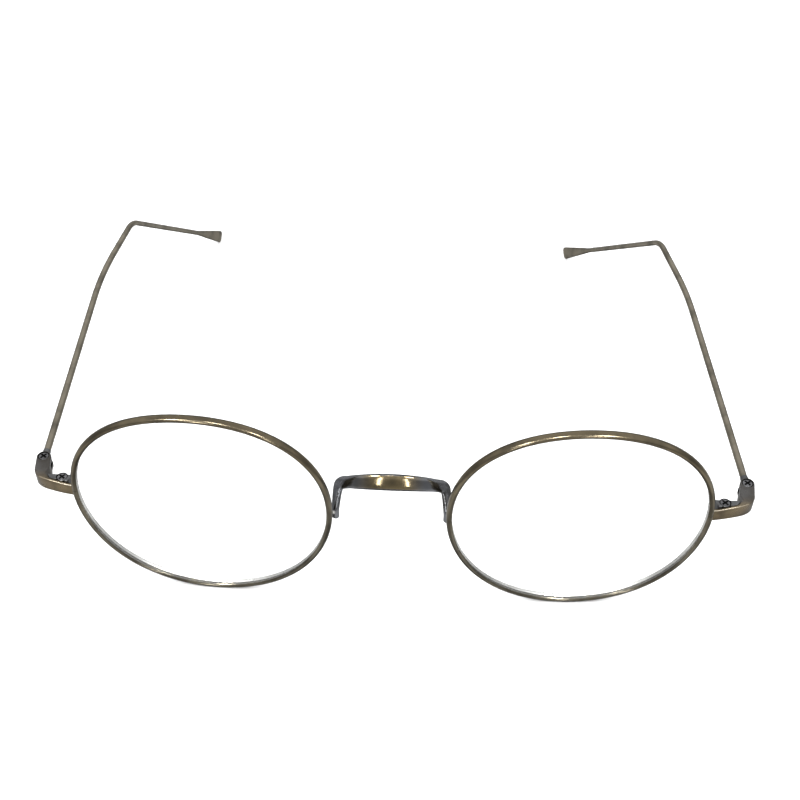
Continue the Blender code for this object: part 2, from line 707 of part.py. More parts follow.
def make_temple(side):
    """Make the temple: a round wire, an ear bend and a tip flattened to a paddle."""
    line = temple_line(side)
    rings = []
    for i, centre in enumerate(line):
        along = (line[min(i + 1, len(line) - 1)] - line[max(i - 1, 0)]).normalized()
        width_way = (Vector((0.0, 0.0, 1.0)) - along * along.z).normalized()
        left = (line[-1] - centre).length
        flat = ease((PADDLE_LENGTH - left) / (PADDLE_LENGTH * 0.55))
        flare = max(0.0, (PADDLE_LENGTH - left) / PADDLE_LENGTH) ** 1.3
        half_width = (TEMPLE_WIRE + (PADDLE_WIDTH - TEMPLE_WIRE) * flare) / 2
        half_thick = (TEMPLE_WIRE + (PADDLE_THICKNESS - TEMPLE_WIRE) * flat) / 2
        if left < PADDLE_CORNER:
            half_width -= PADDLE_CORNER * (1 - math.sqrt(1 - (1 - left / PADDLE_CORNER) ** 2)) * 0.9
        rings.append(section(
            centre, width_way, along.cross(width_way), half_width, half_thick, 1.0 - 0.45 * flat
        ))
    place(loft(f"temple_{SIDES[side]}", rings), hinges[side], gilt)


def lowest_points(turn):
    """Lowest point of the front and of the temples, with the front tilted by an angle."""
    lowest = []
    for group in (front_points, temple_points):
        lowest.append(min(y * math.sin(turn) + z * math.cos(turn) for _, y, z in group))
    return lowest


def settle():
    """Tilt the spectacles until rims and temple tips rest on one plane, and centre them."""
    bpy.context.view_layer.update()
    graph = bpy.context.evaluated_depsgraph_get()
    for obj in parts.objects:
        if obj.type != "MESH":
            continue
        evaluated = obj.evaluated_get(graph)
        group = temple_points if obj.parent in hinges.values() else front_points
        group += [evaluated.matrix_world @ v.co for v in evaluated.data.vertices]
    low, high = 0.0, math.radians(30)
    for _ in range(40):
        middle = (low + high) / 2
        rim_low, tip_low = lowest_points(middle)
        if tip_low < rim_low:
            low = middle
        else:
            high = middle
    front.rotation_euler.x = low
    rise = math.sin(low)
    flat = math.cos(low)
    every = front_points + temple_points
    depth = [y * flat - z * rise for _, y, z in every]
    across = [x for x, _, _ in every]
    front.location = (
        -(max(across) + min(across)) / 2, -(max(depth) + min(depth)) / 2, -min(lowest_points(low))
    )


clear_scene()
parts = bpy.data.collections.new("eyeglasses_frame")
cutters = bpy.data.collections.new("cutters")
for collection in (parts, cutters):
    bpy.context.scene.collection.children.link(collection)

gilt = finish("antique_gilt", (0.22, 0.17, 0.10), 0.32)
saddle_gilt = finish("polished_gilt", (0.30, 0.22, 0.11), 0.22)
gunmetal = finish("gunmetal", (0.13, 0.13, 0.135), 0.38)
steel = finish("screw_steel", (0.17, 0.17, 0.17), 0.30)
clear = finish("clear_lens", (0.95, 0.97, 0.97), 0.05, 0.0)

LOCK = strip_back(0.17, STRIP_THICKNESS + LOCK_BACK - SEAT_GAP)
LOCK.x = RIM_EDGE_X + LOCK_OUT

front = bpy.data.objects.new("front_frame", None)
parts.objects.link(front)
hinges = {}
tongue_bores = {}
for side, side_name in SIDES.items():
    hinge = bpy.data.objects.new(f"hinge_axis_{side_name}", None)
    parts.objects.link(hinge)
    hinge.parent = front
    hinge.location = (side * HINGE.x, HINGE.y, HINGE.z)
    hinge.rotation_euler.z = side * (REST_FOLD[side] - OPEN_SPLAY)
    hinges[side] = hinge
    tongue_bores[side] = guide(cylinder(
        f"tongue_bore_{side_name}", SCREW_SHANK_RADIUS + SCREW_CLEARANCE,
        -ENDPIECE_HEIGHT, ENDPIECE_HEIGHT,
    ), hinge)

make_bridge()
washer_level = TONGUE_THICKNESS / 2 + STACK_GAP + WASHER_THICKNESS / 2
for side in SIDES:
    make_rim(side)
    make_lens(side)
    rim_seat = make_rim_seat(side)
    make_endpiece(side, rim_seat, make_lock(side, rim_seat))
    make_tongue(side)
    make_washer(side, washer_level, "upper")
    make_washer(side, -washer_level, "lower")
    make_temple(side)

front_points = []
temple_points = []
settle()
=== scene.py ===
"""Round wire eyeglasses with a saddle bridge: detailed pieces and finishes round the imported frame.

Lengths are metres in the row frame: +Z up, +Y from the lenses towards the temple tips, +X
towards the right-hand temple. Each front piece is drawn in the plane of the lenses, with
its origin midway between the lens centres, and is then leaned back with the front.
"""
import json
import logging
from dataclasses import dataclass
from enum import Enum
from functools import cache
from math import asin, atan2, copysign, cos, pi, radians, sin, sqrt, tan, tau

import bmesh
import bpy
from bmesh.types import BMesh, BMVert
from bpy.types import Material, Node, NodeSocket, NodeTree
from mathutils import Matrix, Quaternion, Vector


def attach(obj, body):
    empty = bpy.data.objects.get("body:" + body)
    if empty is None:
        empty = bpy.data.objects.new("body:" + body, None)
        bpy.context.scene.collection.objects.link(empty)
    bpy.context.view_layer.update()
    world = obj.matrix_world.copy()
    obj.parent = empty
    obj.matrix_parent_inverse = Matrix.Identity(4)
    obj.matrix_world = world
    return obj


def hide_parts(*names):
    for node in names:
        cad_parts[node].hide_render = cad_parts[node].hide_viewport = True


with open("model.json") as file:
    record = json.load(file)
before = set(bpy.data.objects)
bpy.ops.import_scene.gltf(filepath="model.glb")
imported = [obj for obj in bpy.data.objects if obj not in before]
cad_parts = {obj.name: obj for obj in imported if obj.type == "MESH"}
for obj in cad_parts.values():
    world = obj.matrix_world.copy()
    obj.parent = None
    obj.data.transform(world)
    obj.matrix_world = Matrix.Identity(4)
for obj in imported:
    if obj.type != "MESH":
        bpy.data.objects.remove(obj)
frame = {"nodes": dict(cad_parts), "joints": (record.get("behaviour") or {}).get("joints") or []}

MM = 0.001
WELD = 1.0e-7
SKIN = 100 * WELD
UP = Vector((0.0, 0.0, 1.0))
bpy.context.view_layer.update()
LOG = logging.getLogger("eyeglasses")


class Side(Enum):
    """Half of the spectacles, as the sign of X."""

    RIGHT = 1
    LEFT = -1

    @property
    def label(self) -> str:
        """Name of the half, as node names spell it."""
        return self.name.lower()


class Along(Enum):
    """Direction in which a finish changes over the object, as the coordinate it follows."""

    OUTWARDS = "X"
    BACK = "Y"
    UP = "Z"


# ---- finishes ----
class NodeSheet:
    """Node tree of a finish or of the room, with a short way to fill it."""

    def __init__(self, tree: NodeTree) -> None:
        """Take up the tree."""
        self.tree = tree

    def fill(self, node: Node, inputs: dict[str | int, object]) -> None:
        """Set or link inputs of a node.

        Args:
            node: The node.
            inputs: A value or another node's output for each input.
        """
        for key, value in inputs.items():
            if isinstance(value, NodeSocket):
                self.tree.links.new(value, node.inputs[key])
            else:
                node.inputs[key].default_value = value

    def add(
        self, kind: str, inputs: dict[str | int, object], out: str | int = 0, **options: str
    ) -> NodeSocket:
        """Add a node.

        Args:
            kind: Its type, without the prefix.
            inputs: A value or another node's output for each input.
            out: Which output is wanted.
            options: Its settings.

        Returns:
            The wanted output.
        """
        node = self.tree.nodes.new(f"ShaderNode{kind}")
        for option, choice in options.items():
            setattr(node, option, choice)
        self.fill(node, inputs)
        return node.outputs[out]


def new_finish(name: str) -> tuple[Material, NodeSheet, Node]:
    """Start a material.

    Args:
        name: Its name.

    Returns:
        The material, its node sheet and its shader.
    """
    material = bpy.data.materials.new(name)
    material.use_nodes = True
    tree = material.node_tree
    return material, NodeSheet(tree), tree.nodes["Principled BSDF"]


@dataclass(frozen=True)
class AgedMetal:
    """Old metal whose tone changes along the object, with patina, pits and fine scratches. Some
    finishes made with it are painted light instead: pale painted highlights and near black painted
    shade.

    Args:
        name: Name of the material.
        worn: Colour where the metal is bright, at the start of the range.
        dull: Colour at the end of the range.
        patina: Colour of the dark film in patches.
        along: Direction of the range.
        start: Where the range starts.
        end: Where it ends.
        smooth: Lowest roughness.
        rough: Highest roughness.
        patches: Share of the surface under the dark film.
        relief: Strength of the bump.
        blotches: Patches to the metre.
        grains: Pits to the metre.
        film: Noise where the film starts and where it is full, without patches.
        cover: How far the full film hides the metal.
        span: Noise at the lowest and at the highest roughness.
        pit: Depth of the pits.
    """

    name: str
    worn: tuple[float, float, float]
    dull: tuple[float, float, float]
    patina: tuple[float, float, float]
    along: Along
    start: float
    end: float
    smooth: float
    rough: float
    patches: float
    relief: float
    blotches: float = 260.0
    grains: float = 2600.0
    film: tuple[float, float] = (0.62, 0.92)
    cover: float = 0.75
    span: tuple[float, float] = (0.3, 0.7)
    pit: float = 0.03 * MM

    @cache
    def build(self) -> Material:
        """Make the material, the first time that it is asked for.

        Returns:
            The material.
        """
        material, sheet, shader = new_finish(self.name)
        place = sheet.add("TexCoord", {}, "Object")
        reach = sheet.add("SeparateXYZ", {0: place}, self.along.value)
        if self.along is Along.OUTWARDS:
            centred = sheet.add("Math", {0: reach, 1: FRONT.origin.x}, operation="SUBTRACT")
            reach = sheet.add("Math", {0: centred}, operation="ABSOLUTE")
        share = sheet.add("MapRange", {
            "Value": reach, "From Min": self.start, "From Max": self.end,
        }, "Result", interpolation_type="SMOOTHSTEP")
        tone = sheet.add("Mix", {
            "Factor": share, "A": (*self.worn, 1.0), "B": (*self.dull, 1.0),
        }, "Result", data_type="RGBA")
        blotch = sheet.add("TexNoise", {
            "Vector": place, "Scale": self.blotches, "Detail": 4.0,
        }, "Fac")
        film = sheet.add("MapRange", {
            "Value": blotch, "From Min": self.film[0] - 0.5 * self.patches,
            "From Max": self.film[1] - 0.5 * self.patches, "To Max": self.cover,
        }, "Result")
        aged = sheet.add("Mix", {
            "Factor": film, "A": tone, "B": (*self.patina, 1.0),
        }, "Result", data_type="RGBA")
        grain = sheet.add("TexNoise", {
            "Vector": place, "Scale": self.grains, "Detail": 3.0,
        }, "Fac")
        both = sheet.add("Mix", {"Factor": 0.5, "A": grain, "B": blotch}, "Result")
        matt = sheet.add("MapRange", {
            "Value": both, "From Min": self.span[0], "From Max": self.span[1],
            "To Min": self.smooth, "To Max": self.rough,
        }, "Result")
        bump = sheet.add("Bump", {
            "Strength": self.relief, "Distance": self.pit, "Height": both,
        }, "Normal")
        sheet.fill(shader, {
            "Metallic": 1.0, "Base Color": aged, "Roughness": matt, "Normal": bump,
        })
        return material


@dataclass(frozen=True)
class ClearLens:
    """Clear optical plastic: polished on its faces, ground on its bevel.

    Args:
        name: Name of the material.
        tint: Faint colour.
        cover: How far it hides what is behind it.
        smooth: Lowest roughness.
        rough: Highest roughness.
        haze: Colour of its faint smears.
        smears: Smears to the metre.
        bend: Index of refraction.
    """

    name: str
    tint: tuple[float, float, float]
    cover: float
    smooth: float
    rough: float
    haze: tuple[float, float, float] = (0.93, 0.94, 0.95)
    smears: float = 400.0
    bend: float = 1.5

    @cache
    def build(self) -> Material:
        """Make the material, the first time that it is asked for.

        Returns:
            The material.
        """
        material, sheet, shader = new_finish(self.name)
        place = sheet.add("TexCoord", {}, "Object")
        noise = sheet.add("TexNoise", {"Vector": place, "Scale": self.smears}, "Fac")
        smear = sheet.add("MapRange", {
            "Value": noise, "To Min": self.smooth, "To Max": self.rough,
        }, "Result")
        colour = sheet.add("Mix", {
            "Factor": noise, "A": (*self.tint, 1.0), "B": (*self.haze, 1.0),
        }, "Result", data_type="RGBA")
        sheet.fill(shader, {
            "Base Color": colour, "Roughness": smear, "IOR": self.bend, "Alpha": self.cover,
        })
        return material


GILT = AgedMetal(
    "antique_gilt_wire", (0.205, 0.170, 0.112), (0.185, 0.168, 0.130), (0.060, 0.053, 0.040),
    Along.UP, 0.044, 0.010, 0.10, 0.22, 0.42, 0.03,
)
SADDLE = AgedMetal(
    "saddle_gilt", (0.30, 0.235, 0.130), (0.200, 0.206, 0.220), (0.060, 0.055, 0.045),
    Along.OUTWARDS, 2.6 * MM, 6.4 * MM, 0.07, 0.17, 0.40, 0.04,
)
# Pale painted light: on the rim's inner rear faces it stands in for the bright table seen through
# the lens, and on the solder beads it is a painted highlight.
PALE_LIGHT = AgedMetal(
    "pale_painted_light", (0.78, 0.77, 0.74), (0.70, 0.70, 0.68), (0.40, 0.39, 0.36),
    Along.UP, 0.044, 0.010, 0.22, 0.36, 0.25, 0.03,
)
# Pale metal: a painted highlight along the endpiece's upper front edge.
EDGE_GLINT = AgedMetal(
    "edge_painted_highlight", (0.66, 0.60, 0.50), (0.48, 0.41, 0.30), (0.24, 0.20, 0.14),
    Along.OUTWARDS, 0.056, 0.062, 0.24, 0.40, 0.40, 0.03,
)
# Dark metal: painted shade along the saddle band's long edges, where the rounded edges would mirror
# the dark room.
EDGE_SHADE = AgedMetal(
    "bridge_edge_painted_shade", (0.100, 0.098, 0.096), (0.140, 0.146, 0.156), (0.05, 0.05, 0.05),
    Along.OUTWARDS, 2.6 * MM, 6.4 * MM, 0.20, 0.36, 0.40, 0.05,
)
STRAP = AgedMetal(
    "endpiece_gilt", (0.285, 0.220, 0.130), (0.140, 0.136, 0.132), (0.06, 0.052, 0.04),
    Along.BACK, -0.0655, -0.0615, 0.24, 0.42, 0.48, 0.14,
)
SATIN = AgedMetal(
    "temple_satin", (0.310, 0.278, 0.218), (0.225, 0.196, 0.142), (0.08, 0.075, 0.062),
    Along.BACK, 0.030, 0.060, 0.28, 0.46, 0.35, 0.10,
)
GUNMETAL = AgedMetal(
    "gunmetal", (0.185, 0.187, 0.190), (0.175, 0.177, 0.180), (0.06, 0.06, 0.062),
    Along.UP, 0.020, 0.030, 0.28, 0.45, 0.35, 0.14,
)
STEEL = AgedMetal(
    "screw_steel_turned", (0.30, 0.30, 0.31), (0.26, 0.26, 0.27), (0.05, 0.05, 0.052),
    Along.UP, 0.020, 0.030, 0.14, 0.30, 0.45, 0.14,
)
# Near black painted shade for the screws' cross recesses, the seat rings round their heads and the
# bores.
RECESS_SHADE = AgedMetal(
    "recess_painted_shade", (0.016, 0.016, 0.016), (0.014, 0.014, 0.014), (0.010, 0.010, 0.010),
    Along.UP, 0.020, 0.030, 0.40, 0.60, 0.40, 0.05,
)
CLEAR = ClearLens("lens_clear", (0.90, 0.94, 0.95), 0.025, 0.02, 0.06)
GROUND = ClearLens("lens_bevel_ground", (0.70, 0.72, 0.74), 0.06, 0.35, 0.55)


# ---- the leaning front ----
@dataclass(frozen=True)
class Front:
    """Plane of the lenses: where it stands and how far it leans back.

    Args:
        origin: Point midway between the lens centres.
        lean: Angle from upright.
        hinge_x: Hinge axes, on each side of the middle.
        hinge_y: Hinge axes, behind the plane.
        level: Hinges and closing blocks, above the lens centres.
    """

    origin: Vector
    lean: float
    hinge_x: float = 64.2977 * MM
    hinge_y: float = 7.7025 * MM
    level: float = 1.9 * MM

    @classmethod
    def from_hinges(cls, joints: list[dict]) -> "Front":
        """Find the plane from the axes of the two temple hinges.

        Args:
            joints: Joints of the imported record.

        Returns:
            The front.
        """
        axes = [Vector(joint["axis"]) for joint in joints]
        places = [Vector(joint["pos_m"]) for joint in joints]
        lean = asin(abs(axes[0].y))
        middle = (places[0] + places[1]) / 2
        reach = Matrix.Rotation(lean, 3, "X") @ Vector((0.0, cls.hinge_y, cls.level))
        return cls(middle - reach, lean)

    @property
    def matrix(self) -> Matrix:
        """Transform from the plane to the row frame."""
        return Matrix.Translation(self.origin) @ Matrix.Rotation(self.lean, 4, "X")


FRONT = Front.from_hinges(frame["joints"])


# ---- shared shaping ----
def finish_piece(
    bm: BMesh, name: str, place: Matrix, finishes: list[AgedMetal | ClearLens],
    sharp: float, body: str, node: str,
) -> None:
    """Turn a bmesh into a finished object at the origin, in place of its CAD node.

    Args:
        bm: The shape, which is freed.
        name: Name of the piece.
        place: Where the shape goes in the row frame.
        finishes: Finishes in slot order.
        sharp: Angle in degrees past which an edge stays sharp.
        body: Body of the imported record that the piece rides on.
        node: CAD node that the piece stands for.
    """
    bmesh.ops.remove_doubles(bm, verts=bm.verts, dist=WELD)
    bm.transform(place)
    bmesh.ops.recalc_face_normals(bm, faces=bm.faces)
    mesh = bpy.data.meshes.new(name)
    bm.to_mesh(mesh)
    bm.free()
    for polygon in mesh.polygons:
        polygon.use_smooth = True
    mesh.set_sharp_from_angle(angle=radians(sharp))
    for finish in finishes:
        mesh.materials.append(finish.build())
    piece = bpy.data.objects.new(name, mesh)
    bpy.context.scene.collection.objects.link(piece)
    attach(piece, body)
    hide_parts(node)
    LOG.info("%s: %d faces on %s", name, len(mesh.polygons), body)


def sweep(rings: list[list[Vector]]) -> BMesh:
    """Extrude a closed ring from place to place and cap both ends.

    Args:
        rings: Rows of ring points, all of the same count.

    Returns:
        The closed shape.
    """
    bm = bmesh.new()
    bmesh.ops.create_circle(bm, cap_ends=True, radius=1.0, segments=len(rings[0]))
    tip = bm.faces[:][0]
    for i, ring in enumerate(rings):
        if i:
            tip = bmesh.ops.extrude_discrete_faces(bm, faces=[tip])["faces"][0]
        for vert, point in zip(tip.verts, ring):
            vert.co = point
    bmesh.ops.holes_fill(bm, edges=bm.edges)
    return bm


def oval_ring(
    centre: Vector, across: Vector, through: Vector, half_width: float, half_thick: float,
    squareness: float, count: int = 28,
) -> list[Vector]:
    """Place a superellipse: squareness 1 is round, smaller is more like a flat bar.

    Args:
        centre: Middle of the ring.
        across: Direction of its width.
        through: Direction of its thickness.
        half_width: Half of its width.
        half_thick: Half of its thickness.
        squareness: Exponent of the superellipse.
        count: Points round it.

    Returns:
        The ring's points.
    """
    ring = []
    for i in range(count):
        angle = tau * (i + 0.5) / count
        wide = copysign(abs(cos(angle)) ** squareness, cos(angle))
        deep = copysign(abs(sin(angle)) ** squareness, sin(angle))
        ring.append(centre + across * (half_width * wide) + through * (half_thick * deep))
    return ring


def bar_ring(
    near: Vector, far: Vector, half_height: float, radius: float, steps: int = 5
) -> list[Vector]:
    """Place an upright rounded rectangle between two points.

    Args:
        near: Middle of its one side.
        far: Middle of its other side.
        half_height: Half of its height.
        radius: Radius of its corners.
        steps: Steps round each corner.

    Returns:
        The ring's points.
    """
    centre = (near + far) / 2
    across = (far - near).normalized()
    half_width = (far - near).length / 2
    radius = min(radius, half_width * 0.98)
    ring = []
    for corner in range(4):
        wide = (half_width - radius) * (1 if corner in (0, 3) else -1)
        high = (half_height - radius) * (1 if corner in (0, 1) else -1)
        for i in range(steps + 1):
            angle = pi / 2 * (corner + i / steps)
            ring.append(
                centre + across * (wide + radius * cos(angle))
                + UP * (high + radius * sin(angle))
            )
    return ring


def smooth_line(points: list[Vector], steps: int) -> list[Vector]:
    """Run a Catmull-Rom curve through points.

    Args:
        points: Points to go through.
        steps: Steps between each two.

    Returns:
        The finer row of points.
    """
    ends = [2 * points[0] - points[1], *points, 2 * points[-1] - points[-2]]
    line = []
    for a, b, c, d in zip(ends, ends[1:], ends[2:], ends[3:]):
        for i in range(steps):
            t = i / steps
            line.append(0.5 * (
                2 * b + (c - a) * t + (2 * a - 5 * b + 4 * c - d) * t ** 2
                + (3 * b - a - 3 * c + d) * t ** 3
            ))
    return [*line, points[-1]]


def ease(share: float) -> float:
    """Step smoothly from 0 to 1."""
    share = min(max(share, 0.0), 1.0)
    return share * share * (3 - 2 * share)


def slab(outline: list[tuple[float, float]], bottom: float, top: float, edge: float) -> BMesh:
    """Extrude a flat outline upwards and round all its edges.

    Args:
        outline: Corners in order, x and y.
        bottom: Lower face.
        top: Upper face.
        edge: Width of the rounding.

    Returns:
        The closed shape.
    """
    bm = bmesh.new()
    corners = [bm.verts.new((x, y, bottom)) for x, y in outline]
    face = bmesh.ops.contextual_create(bm, geom=corners)["faces"][0]
    geom = bmesh.ops.extrude_face_region(bm, geom=[face])["geom"]
    risen = [part for part in geom if isinstance(part, BMVert)]
    bmesh.ops.translate(bm, vec=(0.0, 0.0, top - bottom), verts=risen)
    bmesh.ops.holes_fill(bm, edges=bm.edges)
    bmesh.ops.recalc_face_normals(bm, faces=bm.faces)
    sharp = [e for e in bm.edges if e.is_manifold and e.calc_face_angle() > radians(40)]
    bmesh.ops.bevel(
        bm, geom=sharp, offset=edge, offset_type="OFFSET", affect="EDGES", segments=3,
        profile=0.5, material=-1, clamp_overlap=True,
    )
    return bm


def cylinder(
    radius: float, bottom: float, top: float, segments: int = 64, x: float = 0.0, y: float = 0.0
) -> BMesh:
    """Make an upright cylinder.

    Args:
        radius: Its radius.
        bottom: Its lower end.
        top: Its upper end.
        segments: Facets round it.
        x: Its axis, outwards.
        y: Its axis, back.

    Returns:
        The closed shape.
    """
    bm = bmesh.new()
    bmesh.ops.create_cone(
        bm, cap_ends=True, segments=segments, radius1=radius, radius2=radius, depth=top - bottom
    )
    bmesh.ops.translate(bm, vec=(x, y, (top + bottom) / 2), verts=bm.verts)
    return bm


def lathe(rows: list[tuple[float, float]], steps: int) -> BMesh:
    """Turn a half section about the local Z axis.

    Args:
        rows: Radius and height of its points, from axis to axis.
        steps: Facets round it.

    Returns:
        The closed shape.
    """
    bm = bmesh.new()
    verts = [bm.verts.new((radius, 0.0, height)) for radius, height in rows]
    edges = [bm.edges.new(pair) for pair in zip(verts, verts[1:])]
    bmesh.ops.spin(
        bm, geom=verts + edges, cent=(0.0, 0.0, 0.0), axis=(0.0, 0.0, 1.0), angle=tau,
        steps=steps, use_merge=True,
    )
    bmesh.ops.remove_doubles(bm, verts=bm.verts, dist=WELD)
    return bm


def block(low: tuple[float, float, float], high: tuple[float, float, float]) -> BMesh:
    """Make a box, as a cutter.

    Args:
        low: Its lowest corner.
        high: Its highest corner.

    Returns:
        The cutter.
    """
    bm = bmesh.new()
    bmesh.ops.create_cube(bm, size=1.0)
    bmesh.ops.scale(bm, vec=Vector(high) - Vector(low), verts=bm.verts)
    bmesh.ops.translate(bm, vec=(Vector(low) + Vector(high)) / 2, verts=bm.verts)
    return bm


def carve(body: BMesh, tool: BMesh, operation: str = "DIFFERENCE") -> BMesh:
    """Cut one closed shape with another, or join the two.

    Args:
        body: The shape that is worked on, which is freed.
        tool: The shape that cuts, which is freed.
        operation: Name of the Boolean operation.

    Returns:
        The result.
    """
    objects = []
    for label, bm in (("body", body), ("tool", tool)):
        bmesh.ops.recalc_face_normals(bm, faces=bm.faces)
        mesh = bpy.data.meshes.new(label)
        bm.to_mesh(mesh)
        bm.free()
        obj = bpy.data.objects.new(label, mesh)
        bpy.context.scene.collection.objects.link(obj)
        objects.append(obj)
    boolean = objects[0].modifiers.new("carve", "BOOLEAN")
    boolean.object = objects[1]
    boolean.operation = operation
    boolean.solver = "EXACT"
    bpy.context.view_layer.update()
    graph = bpy.context.evaluated_depsgraph_get()
    result = bmesh.new()
    result.from_mesh(objects[0].evaluated_get(graph).data)
    for obj in objects:
        mesh = obj.data
        bpy.data.objects.remove(obj, do_unlink=True)
        bpy.data.meshes.remove(mesh)
    return result


def blacken(
    bm: BMesh, axis: Vector, radius: float, top: float, bottom: float, index: int
) -> None:
    """Give the faces inside an upright cylinder another material, here the near black of painted
    shade.

    Args:
        bm: The shape.
        axis: Point on the cylinder's axis.
        radius: Its radius.
        top: Its upper end.
        bottom: Its lower end.
        index: Material slot for the faces.
    """
    for face in bm.faces:
        spot = face.calc_center_median()
        if bottom < spot.z < top and (spot - axis).xy.length < radius:
            face.material_index = index


# ---- rims and lenses ----
@dataclass
class Eye:
    """One lens in its rim: an oval wire with a V groove, open where the closing blocks meet."""

    side: Side
    half_width: float = 23.9 * MM
    half_height: float = 22.525 * MM
    gap: float = 19.8 * MM
    wrap: float = radians(2.98)
    wall: float = 1.19 * MM
    depth: float = 1.76 * MM
    groove: float = 0.42 * MM
    groove_half: float = 0.45 * MM
    floor_half: float = 0.08 * MM
    floor_rise: float = 0.10 * MM
    lip_round: float = 0.10
    lift: float = 0.017
    square: float = 0.009
    opening: float = 0.05 * MM
    # Share of the wall, and depth behind the middle, past which the inner faces get the pale painted
    # light.
    lining: float = 0.50
    lip: float = 0.15 * MM
    lens_thick: float = 1.5 * MM
    lens_sag: float = 0.9 * MM
    lens_gap: float = 0.06 * MM
    steps: int = 288
    lens_steps: int = 144

    @property
    def centre_x(self) -> float:
        """Distance of the lens centre from the middle."""
        return self.gap / 2 + self.half_width

    @property
    def place(self) -> Matrix:
        """Transform from the drawing plane of the lens to the row frame."""
        sign = self.side.value
        return (
            FRONT.matrix @ Matrix.Translation((sign * self.centre_x, 0.0, 0.0))
            @ Matrix.Rotation(sign * self.wrap, 4, "Z") @ Matrix.Rotation(pi / 2, 4, "X")
            @ Matrix.Diagonal((sign, 1.0, 1.0, 1.0))
        )

    def outline(self, angle: float, inset: float) -> Vector:
        """Point of the rim's outline.

        Args:
            angle: Angle from the outer side upwards.
            inset: How far inside the outline it lies.

        Returns:
            The point, x outwards and y up.
        """
        swell = 1 + self.lift * sin(3 * angle) - self.square * cos(4 * angle)
        slope = 3 * self.lift * cos(3 * angle) + 4 * self.square * sin(4 * angle)
        point = Vector((
            self.half_width * swell * cos(angle), self.half_height * swell * sin(angle)
        ))
        outwards = Vector((
            self.half_height * (slope * sin(angle) + swell * cos(angle)),
            -self.half_width * (slope * cos(angle) - swell * sin(angle)),
        )).normalized()
        return point - outwards * inset

    def section(self) -> list[tuple[float, float]]:
        """Draw the section of the rim wire.

        Returns:
            Its points: distance in from the outline, and depth.
        """
        half_wall = self.wall / 2
        half_depth = self.depth / 2
        steps = 20
        points = []
        lip_angle = asin(self.groove_half / half_depth) + self.lip_round
        for i in range(steps + 1):
            angle = -(pi - lip_angle) + 2 * (pi - lip_angle) * i / steps
            points.append((half_wall - half_wall * cos(angle), half_depth * sin(angle)))
        floor = self.wall - self.groove
        side = floor + self.floor_rise
        return [*points, (side, self.floor_half), (floor, 0.0), (side, -self.floor_half)]

    def build_rim(self) -> None:
        """Spin the section round, shape the ring to the outline and paint its inner rear faces pale
        as painted light.
        """
        base = self.half_width
        start = asin(FRONT.level / self.half_height) + self.opening / self.half_height
        bm = bmesh.new()
        verts = [bm.verts.new((base - inset, 0.0, depth)) for inset, depth in self.section()]
        edges = [bm.edges.new(pair) for pair in zip(verts, verts[1:] + verts[:1])]
        bmesh.ops.rotate(
            bm, verts=verts, cent=(0.0, 0.0, 0.0), matrix=Matrix.Rotation(start, 3, "Z")
        )
        bmesh.ops.spin(
            bm, geom=verts + edges, cent=(0.0, 0.0, 0.0), axis=(0.0, 0.0, 1.0),
            angle=tau - 2 * self.opening / self.half_height, steps=self.steps,
        )
        bmesh.ops.holes_fill(bm, edges=bm.edges)
        # Painted light: the inner rear faces get the pale finish, a stand-in for the bright table
        # seen through the lens.
        inner = base - self.lining * self.wall
        for face in bm.faces:
            spot = face.calc_center_median()
            face.material_index = int(spot.xy.length < inner and spot.z < -self.lip)
        for vert in bm.verts:
            angle = atan2(vert.co.y, vert.co.x)
            vert.co.xy = self.outline(angle, base - vert.co.xy.length)
        label = self.side.label
        finish_piece(
            bm, f"rim_wire_{label}", self.place, [GILT, PALE_LIGHT], 50.0,
            "front", f"rim_{label}",
        )

    def build_lens(self) -> None:
        """Turn the lens's half section, shape the disc to the rim and grind its bevel."""
        base = self.half_width - self.wall - self.lens_gap
        half = self.lens_thick / 2
        reach = self.groove - 3 * self.lens_gap
        shoulder = self.groove_half - self.lens_gap
        rings = 10
        faces = [
            (base * i / rings, half + self.lens_sag * (1 - (i / rings) ** 2))
            for i in range(rings + 1)
        ]
        bevel = [(base, shoulder), (base + reach, 0.0), (base, -shoulder)]
        back = [(radius, depth - self.lens_thick) for radius, depth in reversed(faces)]
        bm = lathe(faces + bevel + back, self.lens_steps)
        for face in bm.faces:
            inner = min(vert.co.xy.length for vert in face.verts)
            face.material_index = int(inner > base - WELD)
        for vert in bm.verts:
            radius = vert.co.xy.length
            angle = atan2(vert.co.y, vert.co.x)
            vert.co.xy = self.outline(angle, self.wall + self.lens_gap) * (radius / base)
        label = self.side.label
        finish_piece(
            bm, f"lens_disc_{label}", self.place, [CLEAR, GROUND], 30.0,
            "front", f"lens_{label}",
        )


